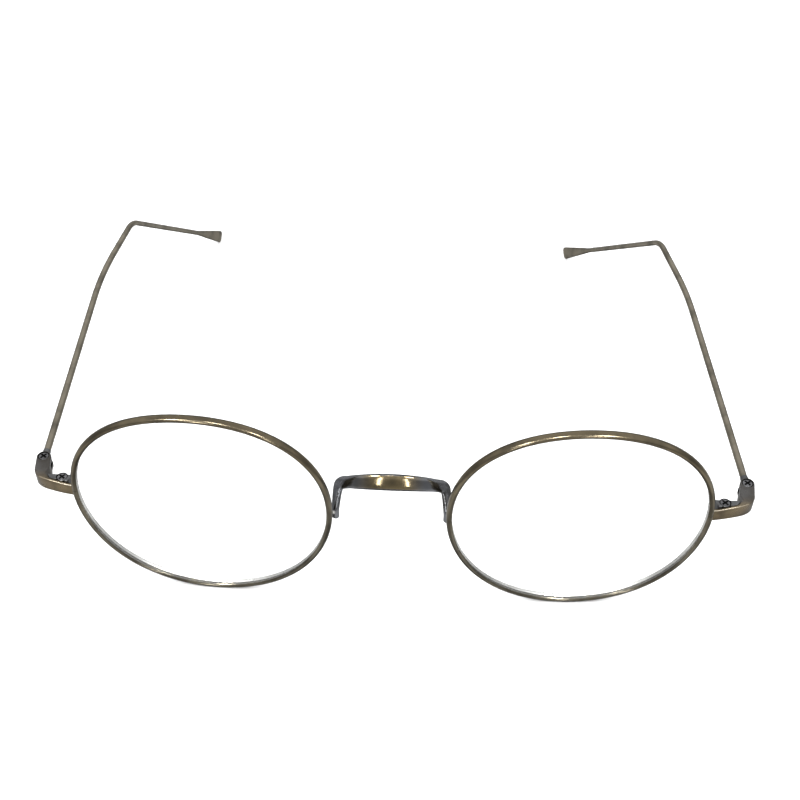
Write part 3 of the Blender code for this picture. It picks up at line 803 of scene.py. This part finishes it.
# ---- bridge ----
@dataclass
class Bridge:
    """Saddle bridge: a leaning flat band over the nose that turns to wire down to its feet."""

    wire: float = 1.32 * MM
    band: float = 3.05 * MM
    band_end: float = 2.35 * MM
    thick: float = 0.95 * MM
    lean: float = radians(32)
    crest: tuple[float, float, float] = (0.0, 1.6 * MM, 6.25 * MM)
    drop: float = 1.5 * MM
    back: float = 1.1 * MM
    reach: float = 7.7 * MM
    foot_x: float = 10.02 * MM
    foot_y: float = 0.15 * MM
    shift: float = 0.28 * MM
    foot_z: float = -1.5 * MM
    bead: float = 0.32 * MM
    bead_x: float = 10.32 * MM
    bead_y: float = -0.48 * MM
    bead_z: float = 0.10 * MM
    # Where the painted shade along the band's edges starts, above and below the middle, and how far
    # out it reaches.
    edge_above: float = 0.43
    edge_below: float = 0.33
    edge_reach: float = 0.9
    squareness: float = 0.7
    turn_rate: float = 2.2
    turn_start: float = 1.1
    foot_rounding: tuple[tuple[float, float], ...] = (
        (0.10, 0.96), (0.19, 0.84), (0.26, 0.62), (0.30, 0.32),
    )
    steps: int = 14
    round_steps: int = 32

    def centre_line(self) -> list[Vector]:
        """Find the middle of the right half, from the crest to the foot.

        Returns:
            Its points.
        """
        crest = Vector(self.crest)
        arch = [
            crest + Vector((self.reach * s, self.back * s ** 2, -self.drop * s ** 2))
            for s in (0.0, 0.35, 0.7, 1.0)
        ]
        end = arch[-1]
        foot = Vector((self.foot_x, self.foot_y, self.foot_z))
        shoulder = [
            Vector((foot.x - 0.95 * MM, end.y + 0.25 * MM, end.z - 0.60 * MM)),
            Vector((foot.x - 0.32 * MM, end.y + 0.02 * MM, end.z - 1.70 * MM)),
        ]
        knee = foot + Vector((0.0, 0.45 * MM, 1.9 * MM))
        mirrored = Vector((-arch[1].x, arch[1].y, arch[1].z))
        return smooth_line([mirrored, *arch, *shoulder, knee, foot], self.steps)[self.steps:]

    def rings(self, side: Side) -> list[list[Vector]]:
        """Place the sections of one half.

        Args:
            side: Which half.

        Returns:
            Rings from the crest to the foot.
        """
        line = self.centre_line()
        across = Vector((0.0, sin(self.lean), cos(self.lean)))
        before = Vector((1.0, 0.0, 0.0))
        rings = []
        for i, centre in enumerate(line):
            along = before
            if i:
                along = (line[min(i + 1, len(line) - 1)] - line[i - 1]).normalized()
            across = before.rotation_difference(along) @ across
            before = along
            turned = ease(i / len(line) * self.turn_rate - self.turn_start)
            share = min(1.0, centre.x / self.reach)
            band = self.band + (self.band_end - self.band) * share ** 2
            half_width = (band + (self.wire - band) * turned) / 2
            half_thick = (self.thick + (self.wire - self.thick) * turned) / 2
            rings.append(oval_ring(
                centre, across, along.cross(across), half_width, half_thick,
                self.squareness + (1 - self.squareness) * turned, self.round_steps,
            ))
        for step, shrink in self.foot_rounding:
            tip = line[-1] + before * (self.wire * step)
            half = self.wire / 2 * shrink
            rings.append(oval_ring(
                tip, across, before.cross(across), half, half, 1.0, self.round_steps
            ))
        return [
            [Vector((side.value * p.x + self.shift, p.y, p.z)) for p in ring] for ring in rings
        ]

    def build(self) -> None:
        """Sweep the bridge, darken its long edges with painted shade and bead the solder on its feet
        with a painted highlight.
        """
        bm = sweep(self.rings(Side.LEFT)[:0:-1] + self.rings(Side.RIGHT))
        across = Vector((0.0, sin(self.lean), cos(self.lean)))
        # Painted shade: faces near the band's top and bottom edges get the dark finish.
        for face in bm.faces:
            spot = face.calc_center_median()
            share = (spot.x - self.shift) / self.reach
            middle = Vector(self.crest) + Vector((
                spot.x, self.back * share ** 2, -self.drop * share ** 2
            ))
            off = (spot - middle).dot(across) / self.band
            dull = off > self.edge_above or off < -self.edge_below
            face.material_index = int(dull and abs(share) < self.edge_reach)
        # The solder beads get the pale finish, a painted highlight.
        for side in Side:
            spot = Vector((side.value * self.bead_x + self.shift, self.bead_y, self.bead_z))
            bead = bmesh.ops.create_uvsphere(
                bm, u_segments=20, v_segments=12, radius=self.bead,
                matrix=Matrix.Translation(spot),
            )
            for face in {face for vert in bead["verts"] for face in vert.link_faces}:
                face.material_index = 2
        finish_piece(
            bm, "saddle_bridge", FRONT.matrix, [SADDLE, EDGE_SHADE, PALE_LIGHT], 60.0,
            "front", "bridge",
        )


# ---- endpieces, closing blocks and screws ----
@dataclass
class Corner:
    """One end of the front: strip, corner block, closing blocks and their screws."""

    side: Side
    rim_x: float = 57.668 * MM
    height: float = 2.8 * MM
    strip: float = 0.55 * MM
    strip_low: float = 0.38 * MM
    strip_slim: float = 0.12 * MM
    strip_length: float = 4.6 * MM
    strip_stations: int = 11
    stations: int = 24
    edge: float = 0.19 * MM
    shy_from: float = 0.75
    shy_rate: float = 1.4
    # Which upper front bevel faces carry the painted highlight: how far back, and how steep and
    # forward facing.
    worn_to: float = 2.6 * MM
    rub_level: float = 0.35
    rub_steep: float = 0.93
    rub_front: float = 0.2
    hinge_half: float = 1.30 * MM
    lock_x: float = 59.528 * MM
    lock_y: float = 2.706 * MM
    lock_wall: float = 1.06 * MM
    lock_waist: float = 0.60 * MM
    lock_play: float = 0.03 * MM
    lock_short: float = 0.6 * MM
    lock_over: float = 0.12 * MM
    lock_edge: float = 0.12 * MM
    split: float = 0.05 * MM
    slot_half: float = 0.56 * MM
    slot_front: float = 1.74 * MM
    head: float = 0.92 * MM
    head_height: float = 0.38 * MM
    shank: float = 0.50 * MM
    pitch: float = 0.25 * MM
    thread: float = 0.06 * MM
    clearance: float = 0.05 * MM
    seat_gap: float = 0.13 * MM
    seat_deeper: float = 0.03 * MM
    screw_step: float = 0.03 * MM
    screw_short: float = 0.08 * MM
    cross_arm: float = 0.70 * MM
    cross_half: float = 0.19 * MM
    cross_deep: float = 0.30 * MM
    cross_turn: float = radians(38)
    # How far the painted shade of the cross recess spreads round it, above it and below it.
    oil_spill: float = 0.02 * MM
    oil_top: float = 0.10 * MM
    oil_below: float = 0.04 * MM

    @property
    def top(self) -> float:
        """Upper face of the blocks."""
        return FRONT.level + self.height / 2

    @property
    def bottom(self) -> float:
        """Lower face of the blocks."""
        return FRONT.level - self.height / 2

    @property
    def place(self) -> Matrix:
        """Transform from the drawing of the right side to the row frame."""
        return FRONT.matrix @ Matrix.Diagonal((self.side.value, 1.0, 1.0, 1.0))

    def face(self, share: float) -> Vector:
        """Point of the front and outer face in plan.

        Args:
            share: 0 at the rim, 1 where the outer side turns straight back.

        Returns:
            The point, x outwards and y back.
        """
        handles = (
            Vector((56.478 * MM, 0.842 * MM)), Vector((61.778 * MM, 1.602 * MM)),
            Vector((64.90 * MM, 1.95 * MM)), Vector((65.15 * MM, 4.9 * MM)),
        )
        rest = 1 - share
        return (
            handles[0] * rest ** 3 + handles[1] * 3 * rest ** 2 * share
            + handles[2] * 3 * rest * share ** 2 + handles[3] * share ** 3
        )

    def behind(self, share: float, depth: float) -> Vector:
        """Point behind the front and outer face, square to it.

        Args:
            share: As for the face.
            depth: Distance from the face.

        Returns:
            The point, x outwards and y back.
        """
        step = 0.01
        along = (self.face(share + step) - self.face(share - step)).normalized()
        return self.face(share) + Vector((-along.y, along.x)) * depth

    def inner_side(self) -> list[Vector]:
        """Follow the side towards the head, from the strip's back to the hinge.

        Returns:
            Points in plan, one for each station of the block.
        """
        return [Vector((x * MM, y * MM)) for x, y in (
            (62.42, 3.02), (62.70, 3.32), (62.79, 3.66), (62.64, 4.18), (62.50, 4.75),
            (62.50, 5.25), (62.68, 6.10), (62.88, 6.90), (62.918, 7.70),
        )]

    def endpiece(self) -> BMesh:
        """Sweep a rounded bar from the rim round the corner to the hinge's rear end.

        Returns:
            The closed shape, without its slot and bores.
        """
        pairs = [
            (self.face(i / self.stations), self.behind(i / self.stations, self.strip))
            for i in range(1, self.strip_stations)
        ]
        hinge = Vector((FRONT.hinge_x + self.hinge_half, FRONT.hinge_y))
        # The block goes on from the middle of the face, twelve stations to the whole of it. The
        # outer side then runs straight to the hinge over half the length.
        for i, point in enumerate(self.inner_side()):
            share = (6 + i) / 12
            outer = self.face(min(share, 1.0))
            if share > 1.0:
                outer = outer.lerp(hinge, (share - 1.0) * 6)
            pairs.append((outer, point))
        line_a = smooth_line([a.to_3d() for a, _ in pairs], 4)
        line_b = smooth_line([b.to_3d() for _, b in pairs], 4)
        centre = Vector((FRONT.hinge_x, FRONT.hinge_y, 0.0))
        lift = Vector((0.0, 0.0, FRONT.level))
        half = self.height / 2
        rings = []
        for a, b in zip(line_a, line_b):
            near = 1 - ease((a.x - self.rim_x) / self.strip_length)
            low = Vector((0.0, 0.0, self.strip_low * near))
            rings.append(bar_ring(
                a + lift - low, b + lift - low, half - self.strip_slim * near, self.edge
            ))
        turns = 12
        for i in range(1, turns):
            angle = pi / 2 * i / turns
            back = centre + lift + Vector((0.0, self.hinge_half * sin(angle), 0.0))
            across = Vector((self.hinge_half * cos(angle), 0.0, 0.0))
            shy = self.edge * max(0.0, (i / turns - self.shy_from)) * self.shy_rate
            rings.append(bar_ring(back + across, back - across, half - shy, self.edge))
        return sweep(rings)

    def build_endpiece(self) -> None:
        """Cut the hinge slot and the bores, paint a highlight along the upper front edge and paint
        shade into the hinge screw's seat and bore.
        """
        x, y = FRONT.hinge_x, FRONT.hinge_y
        wide = 3 * self.hinge_half
        bm = carve(self.endpiece(), block(
            (x - wide, y - self.slot_front, FRONT.level - self.slot_half),
            (x + wide, y + wide, FRONT.level + self.slot_half),
        ))
        seat = self.head + self.seat_gap
        floor = self.top - self.head_height
        bore = self.shank + self.clearance
        bm = carve(bm, cylinder(seat, floor, self.top + MM, x=x, y=y))
        bm = carve(bm, cylinder(bore, self.bottom - MM, self.top + MM, x=x, y=y))
        bm = carve(bm, cylinder(seat, floor, self.top + MM, x=self.lock_x, y=self.lock_y))
        # Painted highlight: the upper front bevel faces get the pale metal.
        for face in bm.faces:
            spot = face.calc_center_median()
            glinting = (
                self.rub_level < face.normal.z < self.rub_steep
                and face.normal.y < -self.rub_front
            )
            face.material_index = int(glinting and spot.z > FRONT.level and spot.y < self.worn_to)
        # Painted shade: the hinge screw's seat and bore are painted near black.
        blacken(bm, Vector((x, y, 0.0)), seat + WELD, self.top - SKIN, self.bottom, 2)
        label = self.side.label
        finish_piece(
            bm, f"endpiece_strap_{label}", self.place, [STRAP, EDGE_GLINT, RECESS_SHADE], 32.0,
            "front", f"endpiece_{label}",
        )

    def lock_outline(self) -> list[tuple[float, float]]:
        """Draw the closing blocks in plan.

        Returns:
            The corners in order.
        """
        steps = 16
        strip_side = [
            tuple(self.behind(i / self.stations, self.strip + self.lock_play))
            for i in range(3, self.strip_stations)
        ]
        waist = self.lock_y + self.lock_waist
        outer = FRONT.hinge_x - self.hinge_half - self.lock_short
        inner = self.rim_x - self.lock_over
        lean = asin(self.lock_waist / self.lock_wall)
        bulge = []
        for i in range(steps + 1):
            angle = lean + (pi - 2 * lean) * i / steps
            bulge.append((
                self.lock_x + self.lock_wall * cos(angle),
                self.lock_y + self.lock_wall * sin(angle),
            ))
        return [*strip_side, (outer, waist), *bulge, (inner, waist)]

    def build_blocks(self) -> None:
        """Make the two closing blocks, one on the other."""
        label = self.side.label
        axis = {"x": self.lock_x, "y": self.lock_y}
        seat = self.head + self.seat_gap
        for level, low, high in (
            ("upper", FRONT.level + self.split / 2, self.top),
            ("lower", self.bottom, FRONT.level - self.split / 2),
        ):
            bm = slab(self.lock_outline(), low, high, self.lock_edge)
            bm = carve(bm, cylinder(self.shank + self.clearance, low - MM, high + MM, **axis))
            if level == "upper":
                floor = high - self.head_height - self.seat_deeper
                bm = carve(bm, cylinder(seat, floor, high + MM, **axis))
            # Painted shade: the closing screw's seat and bore are painted near black.
            blacken(
                bm, Vector((self.lock_x, self.lock_y, 0.0)), seat + WELD, high - SKIN,
                low + SKIN, 1,
            )
            finish_piece(
                bm, f"closing_{level}_{label}", self.place, [GUNMETAL, RECESS_SHADE], 35.0,
                "front", f"closing_block_{level}_{label}",
            )

    def screw(self, length: float) -> BMesh:
        """Turn a screw with a domed head, a thread and a cross recess.

        Args:
            length: From the top of the head to the end of the shank.

        Returns:
            The closed shape, its head's top at the origin.
        """
        head = self.head
        rows = [(0.0, 0.0), (head * 0.5, -0.012 * MM), (head * 0.8, -0.04 * MM),
                (head * 0.93, -0.08 * MM), (head, -0.16 * MM), (head, -self.head_height),
                (self.shank, -self.head_height)]
        depth = -self.head_height - self.pitch
        while depth > self.pitch - length:
            rows += [(self.shank, depth), (self.shank - self.thread, depth - self.pitch / 2)]
            depth -= self.pitch
        rows += [(self.shank * 0.8, -length), (0.0, -length)]
        bm = lathe(rows, 48)
        arm, half, deep = self.cross_arm, self.cross_half, self.cross_deep
        for quarter in range(2):
            slot = block((-arm, -half, -deep), (arm, half, deep))
            bmesh.ops.rotate(
                slot, verts=slot.verts, cent=(0.0, 0.0, 0.0),
                matrix=Matrix.Rotation(self.cross_turn + pi / 2 * quarter, 3, "Z"),
            )
            bm = carve(bm, slot)
        return bm

    def build_screws(self) -> None:
        """Put in the closing screw and the hinge screw, with painted shade darkening their cross
        recesses.
        """
        label = self.side.label
        for kind, x, y, top in (
            ("closing", self.lock_x, self.lock_y, self.top - self.screw_step),
            ("hinge", FRONT.hinge_x, FRONT.hinge_y, self.top + self.screw_step),
        ):
            bm = self.screw(top - self.bottom - self.screw_short)
            # Painted shade: the cross recess and its rim are painted near black.
            blacken(
                bm, Vector(), self.cross_arm + self.oil_spill, -self.oil_top,
                -self.cross_deep - self.oil_below, 1,
            )
            bmesh.ops.translate(bm, vec=(x, y, top), verts=bm.verts)
            finish_piece(
                bm, f"{kind}_screw_turned_{label}", self.place, [STEEL, RECESS_SHADE], 30.0,
                "front", f"{kind}_screw_{label}",
            )


# ---- temples ----
@dataclass
class Temple:
    """One folding temple: hinge tongue, straight wire, bow, ear bend and flat paddle."""

    side: Side
    bow_length: float
    bow_angle: float
    tip_drop: float
    tip_inward: float
    fold: float
    wire: float = 1.34 * MM
    tip_wire: float = 1.22 * MM
    offset: float = 0.20 * MM
    straight: float = 58.5 * MM
    bow_radius: float = 105.0 * MM
    ear_radius: float = 8.0 * MM
    tip_length: float = 57.5 * MM
    paddle: float = 17.0 * MM
    paddle_width: float = 3.4 * MM
    paddle_thick: float = 0.92 * MM
    paddle_corner: float = 1.25 * MM
    end_shares: tuple[float, ...] = (1.0, 0.8, 0.6, 0.42, 0.27, 0.15, 0.06, 0.02, 0.0)
    corner_share: float = 0.9
    end_taper: float = 0.55
    squareness: float = 0.40
    flat_share: float = 0.55
    flare_power: float = 0.95
    flare_end: float = 0.06
    thinning: float = 12.0 * MM
    flares: int = 28
    bends: int = 20
    splay: float = radians(3.5)
    tongue: float = 1.14 * MM
    tongue_thick: float = 0.80 * MM
    tongue_edge: float = 0.06 * MM
    bore_radius: float = 0.55 * MM
    ferrule_start: float = 1.36 * MM
    ferrule_length: float = 1.4 * MM
    ferrule_wall: float = 0.06 * MM
    ferrule_edge: float = 0.16 * MM
    grip: float = 0.45

    @property
    def place(self) -> Matrix:
        """Transform from the drawing of a right temple at its hinge to the row frame."""
        sign = self.side.value
        turn = sign * (self.fold - self.splay)
        hinge = Matrix.Translation((sign * FRONT.hinge_x, FRONT.hinge_y, FRONT.level))
        return (
            FRONT.matrix @ hinge @ Matrix.Rotation(turn, 4, "Z")
            @ Matrix.Diagonal((sign, 1.0, 1.0, 1.0))
        )

    def corners(self) -> list[Vector]:
        """Find the corners that the wire is bent round.

        Returns:
            Start, bow, ear and tip.
        """
        start = self.ferrule_start + self.ferrule_length * self.grip
        bow = Vector((self.offset, self.straight, 0.0))
        ear = bow + self.bow_length * Vector((-sin(self.bow_angle), cos(self.bow_angle), 0.0))
        flat = cos(self.tip_drop)
        way = Vector((
            -sin(self.tip_inward) * flat, cos(self.tip_inward) * flat, -sin(self.tip_drop)
        ))
        return [Vector((self.offset, start, 0.0)), bow, ear, ear + self.tip_length * way]

    def centre_line(self) -> list[Vector]:
        """Round the corners and add the stations of the paddle.

        Returns:
            Points of the wire's middle.
        """
        corners = self.corners()
        line = [corners[0]]
        for before, corner, after, radius in zip(
            corners, corners[1:], corners[2:], (self.bow_radius, self.ear_radius)
        ):
            arrive = (corner - before).normalized()
            leave = (after - corner).normalized()
            half_turn = arrive.angle(leave) / 2
            centre = corner + (leave - arrive).normalized() * (radius / cos(half_turn))
            spoke = corner - arrive * (radius * tan(half_turn)) - centre
            axis = arrive.cross(leave).normalized()
            for i in range(self.bends + 1):
                line.append(centre + Quaternion(axis, 2 * half_turn * i / self.bends) @ spoke)
        end = corners[-1]
        way = (end - line[-1]).normalized()
        shares = [1 - i / self.flares for i in range(self.flares)]
        flare = [self.paddle * share for share in shares if share > self.flare_end]
        round_end = [self.paddle_corner * share for share in self.end_shares]
        stations = flare + [back for back in round_end if back < flare[-1]]
        return line + [end - way * back for back in stations]

    def build_wire(self) -> None:
        """Sweep the wire and flatten its end to the paddle."""
        line = self.centre_line()
        rings = []
        for i, centre in enumerate(line):
            along = (line[min(i + 1, len(line) - 1)] - line[max(i - 1, 0)]).normalized()
            across = (UP - along * along.z).normalized()
            left = (line[-1] - centre).length
            flat = ease((self.paddle - left) / (self.paddle * self.flat_share))
            flare = max(0.0, (self.paddle - left) / self.paddle) ** self.flare_power
            thin = ease((self.tip_length + self.thinning / 2 - left) / self.thinning)
            wire = self.wire + (self.tip_wire - self.wire) * thin
            half_width = (wire + (self.paddle_width - wire) * flare) / 2
            half_thick = (wire + (self.paddle_thick - wire) * flat) / 2
            if left < self.paddle_corner:
                round_off = 1 - sqrt(max(0.0, 1 - (1 - left / self.paddle_corner) ** 2))
                half_width -= self.paddle_corner * round_off * self.corner_share
                half_thick *= 1 - self.end_taper * round_off
            rings.append(oval_ring(
                centre, across, along.cross(across), half_width, half_thick,
                1.0 - self.squareness * flat,
            ))
        label = self.side.label
        finish_piece(
            sweep(rings), f"temple_wire_{label}", self.place, [SATIN], 60.0,
            f"temple_{label}", f"temple_{label}",
        )

    def build_hinge(self) -> None:
        """Join the flat tongue to the ferrule that holds the wire."""
        half = self.tongue_thick / 2
        arm = self.wire / 2
        reach = self.ferrule_start + self.ferrule_length / 2
        inner, outer = self.offset - arm, self.offset + arm
        first = pi / 2 + asin(-inner / self.tongue)
        last = tau + pi / 2 - asin(outer / self.tongue)
        steps = 40
        outline = []
        for i in range(steps + 1):
            angle = first + (last - first) * i / steps
            outline.append((self.tongue * cos(angle), self.tongue * sin(angle)))
        outline += [(outer, reach), (inner, reach)]
        bm = slab(outline, -half, half, self.tongue_edge)
        ferrule = cylinder(arm + self.ferrule_wall, 0.0, self.ferrule_length, 48)
        rims = [e for e in ferrule.edges if abs(e.verts[0].co.z - e.verts[1].co.z) < WELD]
        bmesh.ops.bevel(
            ferrule, geom=rims, offset=self.ferrule_edge, offset_type="OFFSET", affect="EDGES",
            segments=4, profile=0.5, material=-1,
        )
        bmesh.ops.rotate(
            ferrule, verts=ferrule.verts, cent=(0.0, 0.0, 0.0),
            matrix=Matrix.Rotation(-pi / 2, 3, "X"),
        )
        bmesh.ops.translate(
            ferrule, vec=(self.offset, self.ferrule_start, 0.0), verts=ferrule.verts
        )
        bm = carve(bm, ferrule, "UNION")
        bm = carve(bm, cylinder(self.bore_radius, -2 * MM, 2 * MM, 48))
        label = self.side.label
        finish_piece(
            bm, f"hinge_tongue_{label}", self.place, [GUNMETAL], 35.0,
            f"temple_{label}", f"temple_hinge_{label}",
        )


# ---- table, light and camera ----
@dataclass(frozen=True)
class SoftBox:
    """A soft lamp that looks at the middle of the spectacles.

    Args:
        name: Name of the lamp.
        azimuth: Where it hangs, in degrees from +Y towards +X.
        height: Degrees above the table.
        far: Distance from the spectacles.
        width: Its width.
        tall: Its height.
        radiance: How bright its face is, where white paper in the scene is about 1.
        mirrored: Whether metal shows its reflection.
    """

    name: str
    azimuth: float
    height: float
    far: float
    width: float
    tall: float
    radiance: float
    mirrored: bool = True

    def hang(self) -> None:
        """Add the lamp to the scene."""
        turn = radians(self.azimuth)
        rise = radians(self.height)
        way = Vector((sin(turn) * cos(rise), cos(turn) * cos(rise), sin(rise)))
        lamp = bpy.data.lights.new(self.name, "AREA")
        lamp.shape = "RECTANGLE"
        lamp.size = self.width
        lamp.size_y = self.tall
        lamp.energy = self.radiance * pi * self.width * self.tall
        holder = bpy.data.objects.new(self.name, lamp)
        holder.location = FRONT.origin + way * self.far
        holder.rotation_euler = (-way).to_track_quat("-Z", "Y").to_euler()
        holder.visible_camera = False
        holder.visible_glossy = self.mirrored
        bpy.context.scene.collection.objects.link(holder)


@dataclass(frozen=True)
class Studio:
    """White table, soft light and the camera in front of and above the lenses."""

    eye: tuple[float, float, float] = (8.03257 * MM, -149.46526 * MM, 163.49811 * MM)
    stand: float = 22.7586 * MM
    tilt: float = radians(4.7619)
    yaw: float = radians(-2.44384)
    pitch: float = radians(37.57721)
    roll: float = radians(0.61335)
    lens_mm: float = 51.2929
    sensor_mm: float = 36.0
    nearest: float = 0.01
    table: float = 1.8
    table_drop: float = 0.03 * MM
    paper: tuple[float, float, float] = (0.94, 0.945, 0.95)
    dark: tuple[float, float, float] = (0.05, 0.05, 0.05)
    floor: tuple[float, float] = (-0.05, -0.35)
    rear: tuple[float, float] = (-0.35, 0.45)
    rear_shade: float = 0.3
    rises: tuple[tuple[float, float], ...] = (
        (-1.0, 0.20), (-0.80, 0.45), (-0.66, 0.90), (-0.40, 0.90), (-0.12, 0.45), (0.25, 0.36),
        (0.52, 0.85), (1.0, 0.80),
    )
    boxes: tuple[SoftBox, ...] = (
        SoftBox("overhead", 0.0, 86.0, 0.8, 1.0, 1.0, 1.9, mirrored=False),
        SoftBox("lamp_left", -142.0, 48.0, 0.7, 0.13, 0.12, 34.0),
        SoftBox("lamp_front", -172.0, 62.0, 0.7, 0.10, 0.10, 32.0),
        SoftBox("lamp_right", 148.0, 48.0, 0.7, 0.11, 0.11, 34.0),
        SoftBox("strip_left", -162.5, 18.0, 0.7, 0.035, 0.26, 20.0),
        SoftBox("strip_right", 163.0, 17.0, 0.7, 0.030, 0.26, 18.0),
    )

    def lay_table(self) -> None:
        """Add the pale table."""
        bm = bmesh.new()
        bmesh.ops.create_grid(bm, x_segments=1, y_segments=1, size=self.table / 2)
        bmesh.ops.translate(bm, vec=(0.0, 0.0, -self.table_drop), verts=bm.verts)
        mesh = bpy.data.meshes.new("table")
        bm.to_mesh(mesh)
        bm.free()
        material, sheet, shader = new_finish("table_white")
        sheet.fill(shader, {
            "Base Color": (*self.paper, 1.0), "Roughness": 0.75, "Specular IOR Level": 0.2,
        })
        mesh.materials.append(material)
        table = bpy.data.objects.new("table", mesh)
        table.visible_glossy = False
        bpy.context.scene.collection.objects.link(table)

    def surround(self) -> None:
        """Give the room the tones that the metal mirrors, and plain white behind the object."""
        world = bpy.data.worlds.new("studio")
        world.use_nodes = True
        sheet = NodeSheet(world.node_tree)
        place = sheet.add("TexCoord", {}, "Generated")
        height = sheet.add("SeparateXYZ", {0: place}, "Z")
        back = height.node.outputs["Y"]
        rise = sheet.add("MapRange", {"Value": height, "From Min": -1.0}, "Result")
        tone = sheet.add("ValToRGB", {"Fac": rise}, "Color")
        ramp = tone.node.color_ramp
        ramp.interpolation = "EASE"
        while len(ramp.elements) < len(self.rises):
            ramp.elements.new(0.5)
        for stop, (level, bright) in zip(ramp.elements, self.rises):
            stop.position = (level + 1) / 2
            stop.color = (bright, bright, bright, 1.0)
        below = sheet.add("MapRange", {
            "Value": height, "From Min": self.floor[0], "From Max": self.floor[1],
        }, "Result")
        rear = sheet.add("MapRange", {
            "Value": back, "From Min": self.rear[0], "From Max": self.rear[1],
            "To Max": self.rear_shade,
        }, "Result")
        shade = sheet.add("Math", {0: below, 1: rear}, operation="MULTIPLY")
        room = sheet.add("Mix", {
            "Factor": shade, "A": tone, "B": (*self.dark, 1.0),
        }, "Result", data_type="RGBA")
        seen = sheet.add("LightPath", {}, "Is Camera Ray")
        backdrop = sheet.add("Mix", {
            "Factor": seen, "A": room, "B": (1.0, 1.0, 1.0, 1.0),
        }, "Result", data_type="RGBA")
        sheet.fill(world.node_tree.nodes["Background"], {"Color": backdrop, "Strength": 1.0})
        bpy.context.scene.world = world

    def light(self) -> None:
        """Hang the lamps, and show colours as they are."""
        bpy.context.scene.view_settings.view_transform = "Standard"
        for box in self.boxes:
            box.hang()

    def set_camera(self) -> None:
        """Put the camera in front of the lenses and above them."""
        ahead = Vector((
            sin(self.yaw) * cos(self.pitch), cos(self.yaw) * cos(self.pitch),
            -sin(self.pitch),
        ))
        right = Vector((cos(self.yaw), -sin(self.yaw), 0.0))
        up = right.cross(ahead)
        turned = cos(self.roll) * right + sin(self.roll) * up
        upright = -sin(self.roll) * right + cos(self.roll) * up
        axes = Matrix((turned, upright, -ahead)).transposed().to_4x4()
        own = Matrix.Translation(Vector(self.eye) - Vector((0.0, 0.0, self.stand))) @ axes
        data = bpy.data.cameras.new("camera")
        data.lens = self.lens_mm
        data.sensor_width = self.sensor_mm
        data.clip_start = self.nearest
        camera = bpy.data.objects.new("camera", data)
        camera.matrix_world = FRONT.matrix @ Matrix.Rotation(-self.tilt, 4, "X") @ own
        bpy.context.scene.collection.objects.link(camera)
        bpy.context.scene.camera = camera


# ---- the whole ----
TEMPLES = (
    Temple(
        Side.RIGHT, bow_length=19.8 * MM, bow_angle=radians(7.3),
        tip_drop=radians(36.3), tip_inward=radians(17.7), fold=radians(6.4),
    ),
    Temple(
        Side.LEFT, bow_length=21.0 * MM, bow_angle=radians(9.4),
        tip_drop=radians(36.6), tip_inward=radians(16.2), fold=0.0,
    ),
)


def main() -> None:
    """Build the spectacles piece by piece, then the table, the light and the camera."""
    logging.basicConfig(level=logging.INFO, format="%(message)s")
    Bridge().build()
    for temple in TEMPLES:
        eye = Eye(temple.side)
        eye.build_rim()
        eye.build_lens()
        corner = Corner(temple.side)
        corner.build_endpiece()
        corner.build_blocks()
        corner.build_screws()
        temple.build_hinge()
        temple.build_wire()
        for level in ("upper", "lower"):
            washer = frame["nodes"][f"hinge_washer_{level}_{temple.side.label}"]
            washer.data.materials.clear()
            washer.data.materials.append(STEEL.build())
            LOG.info("%s: CAD mesh in screw steel", washer.name)
    studio = Studio()
    studio.lay_table()
    studio.surround()
    studio.light()
    studio.set_camera()


if __name__ == "__main__":
    main()
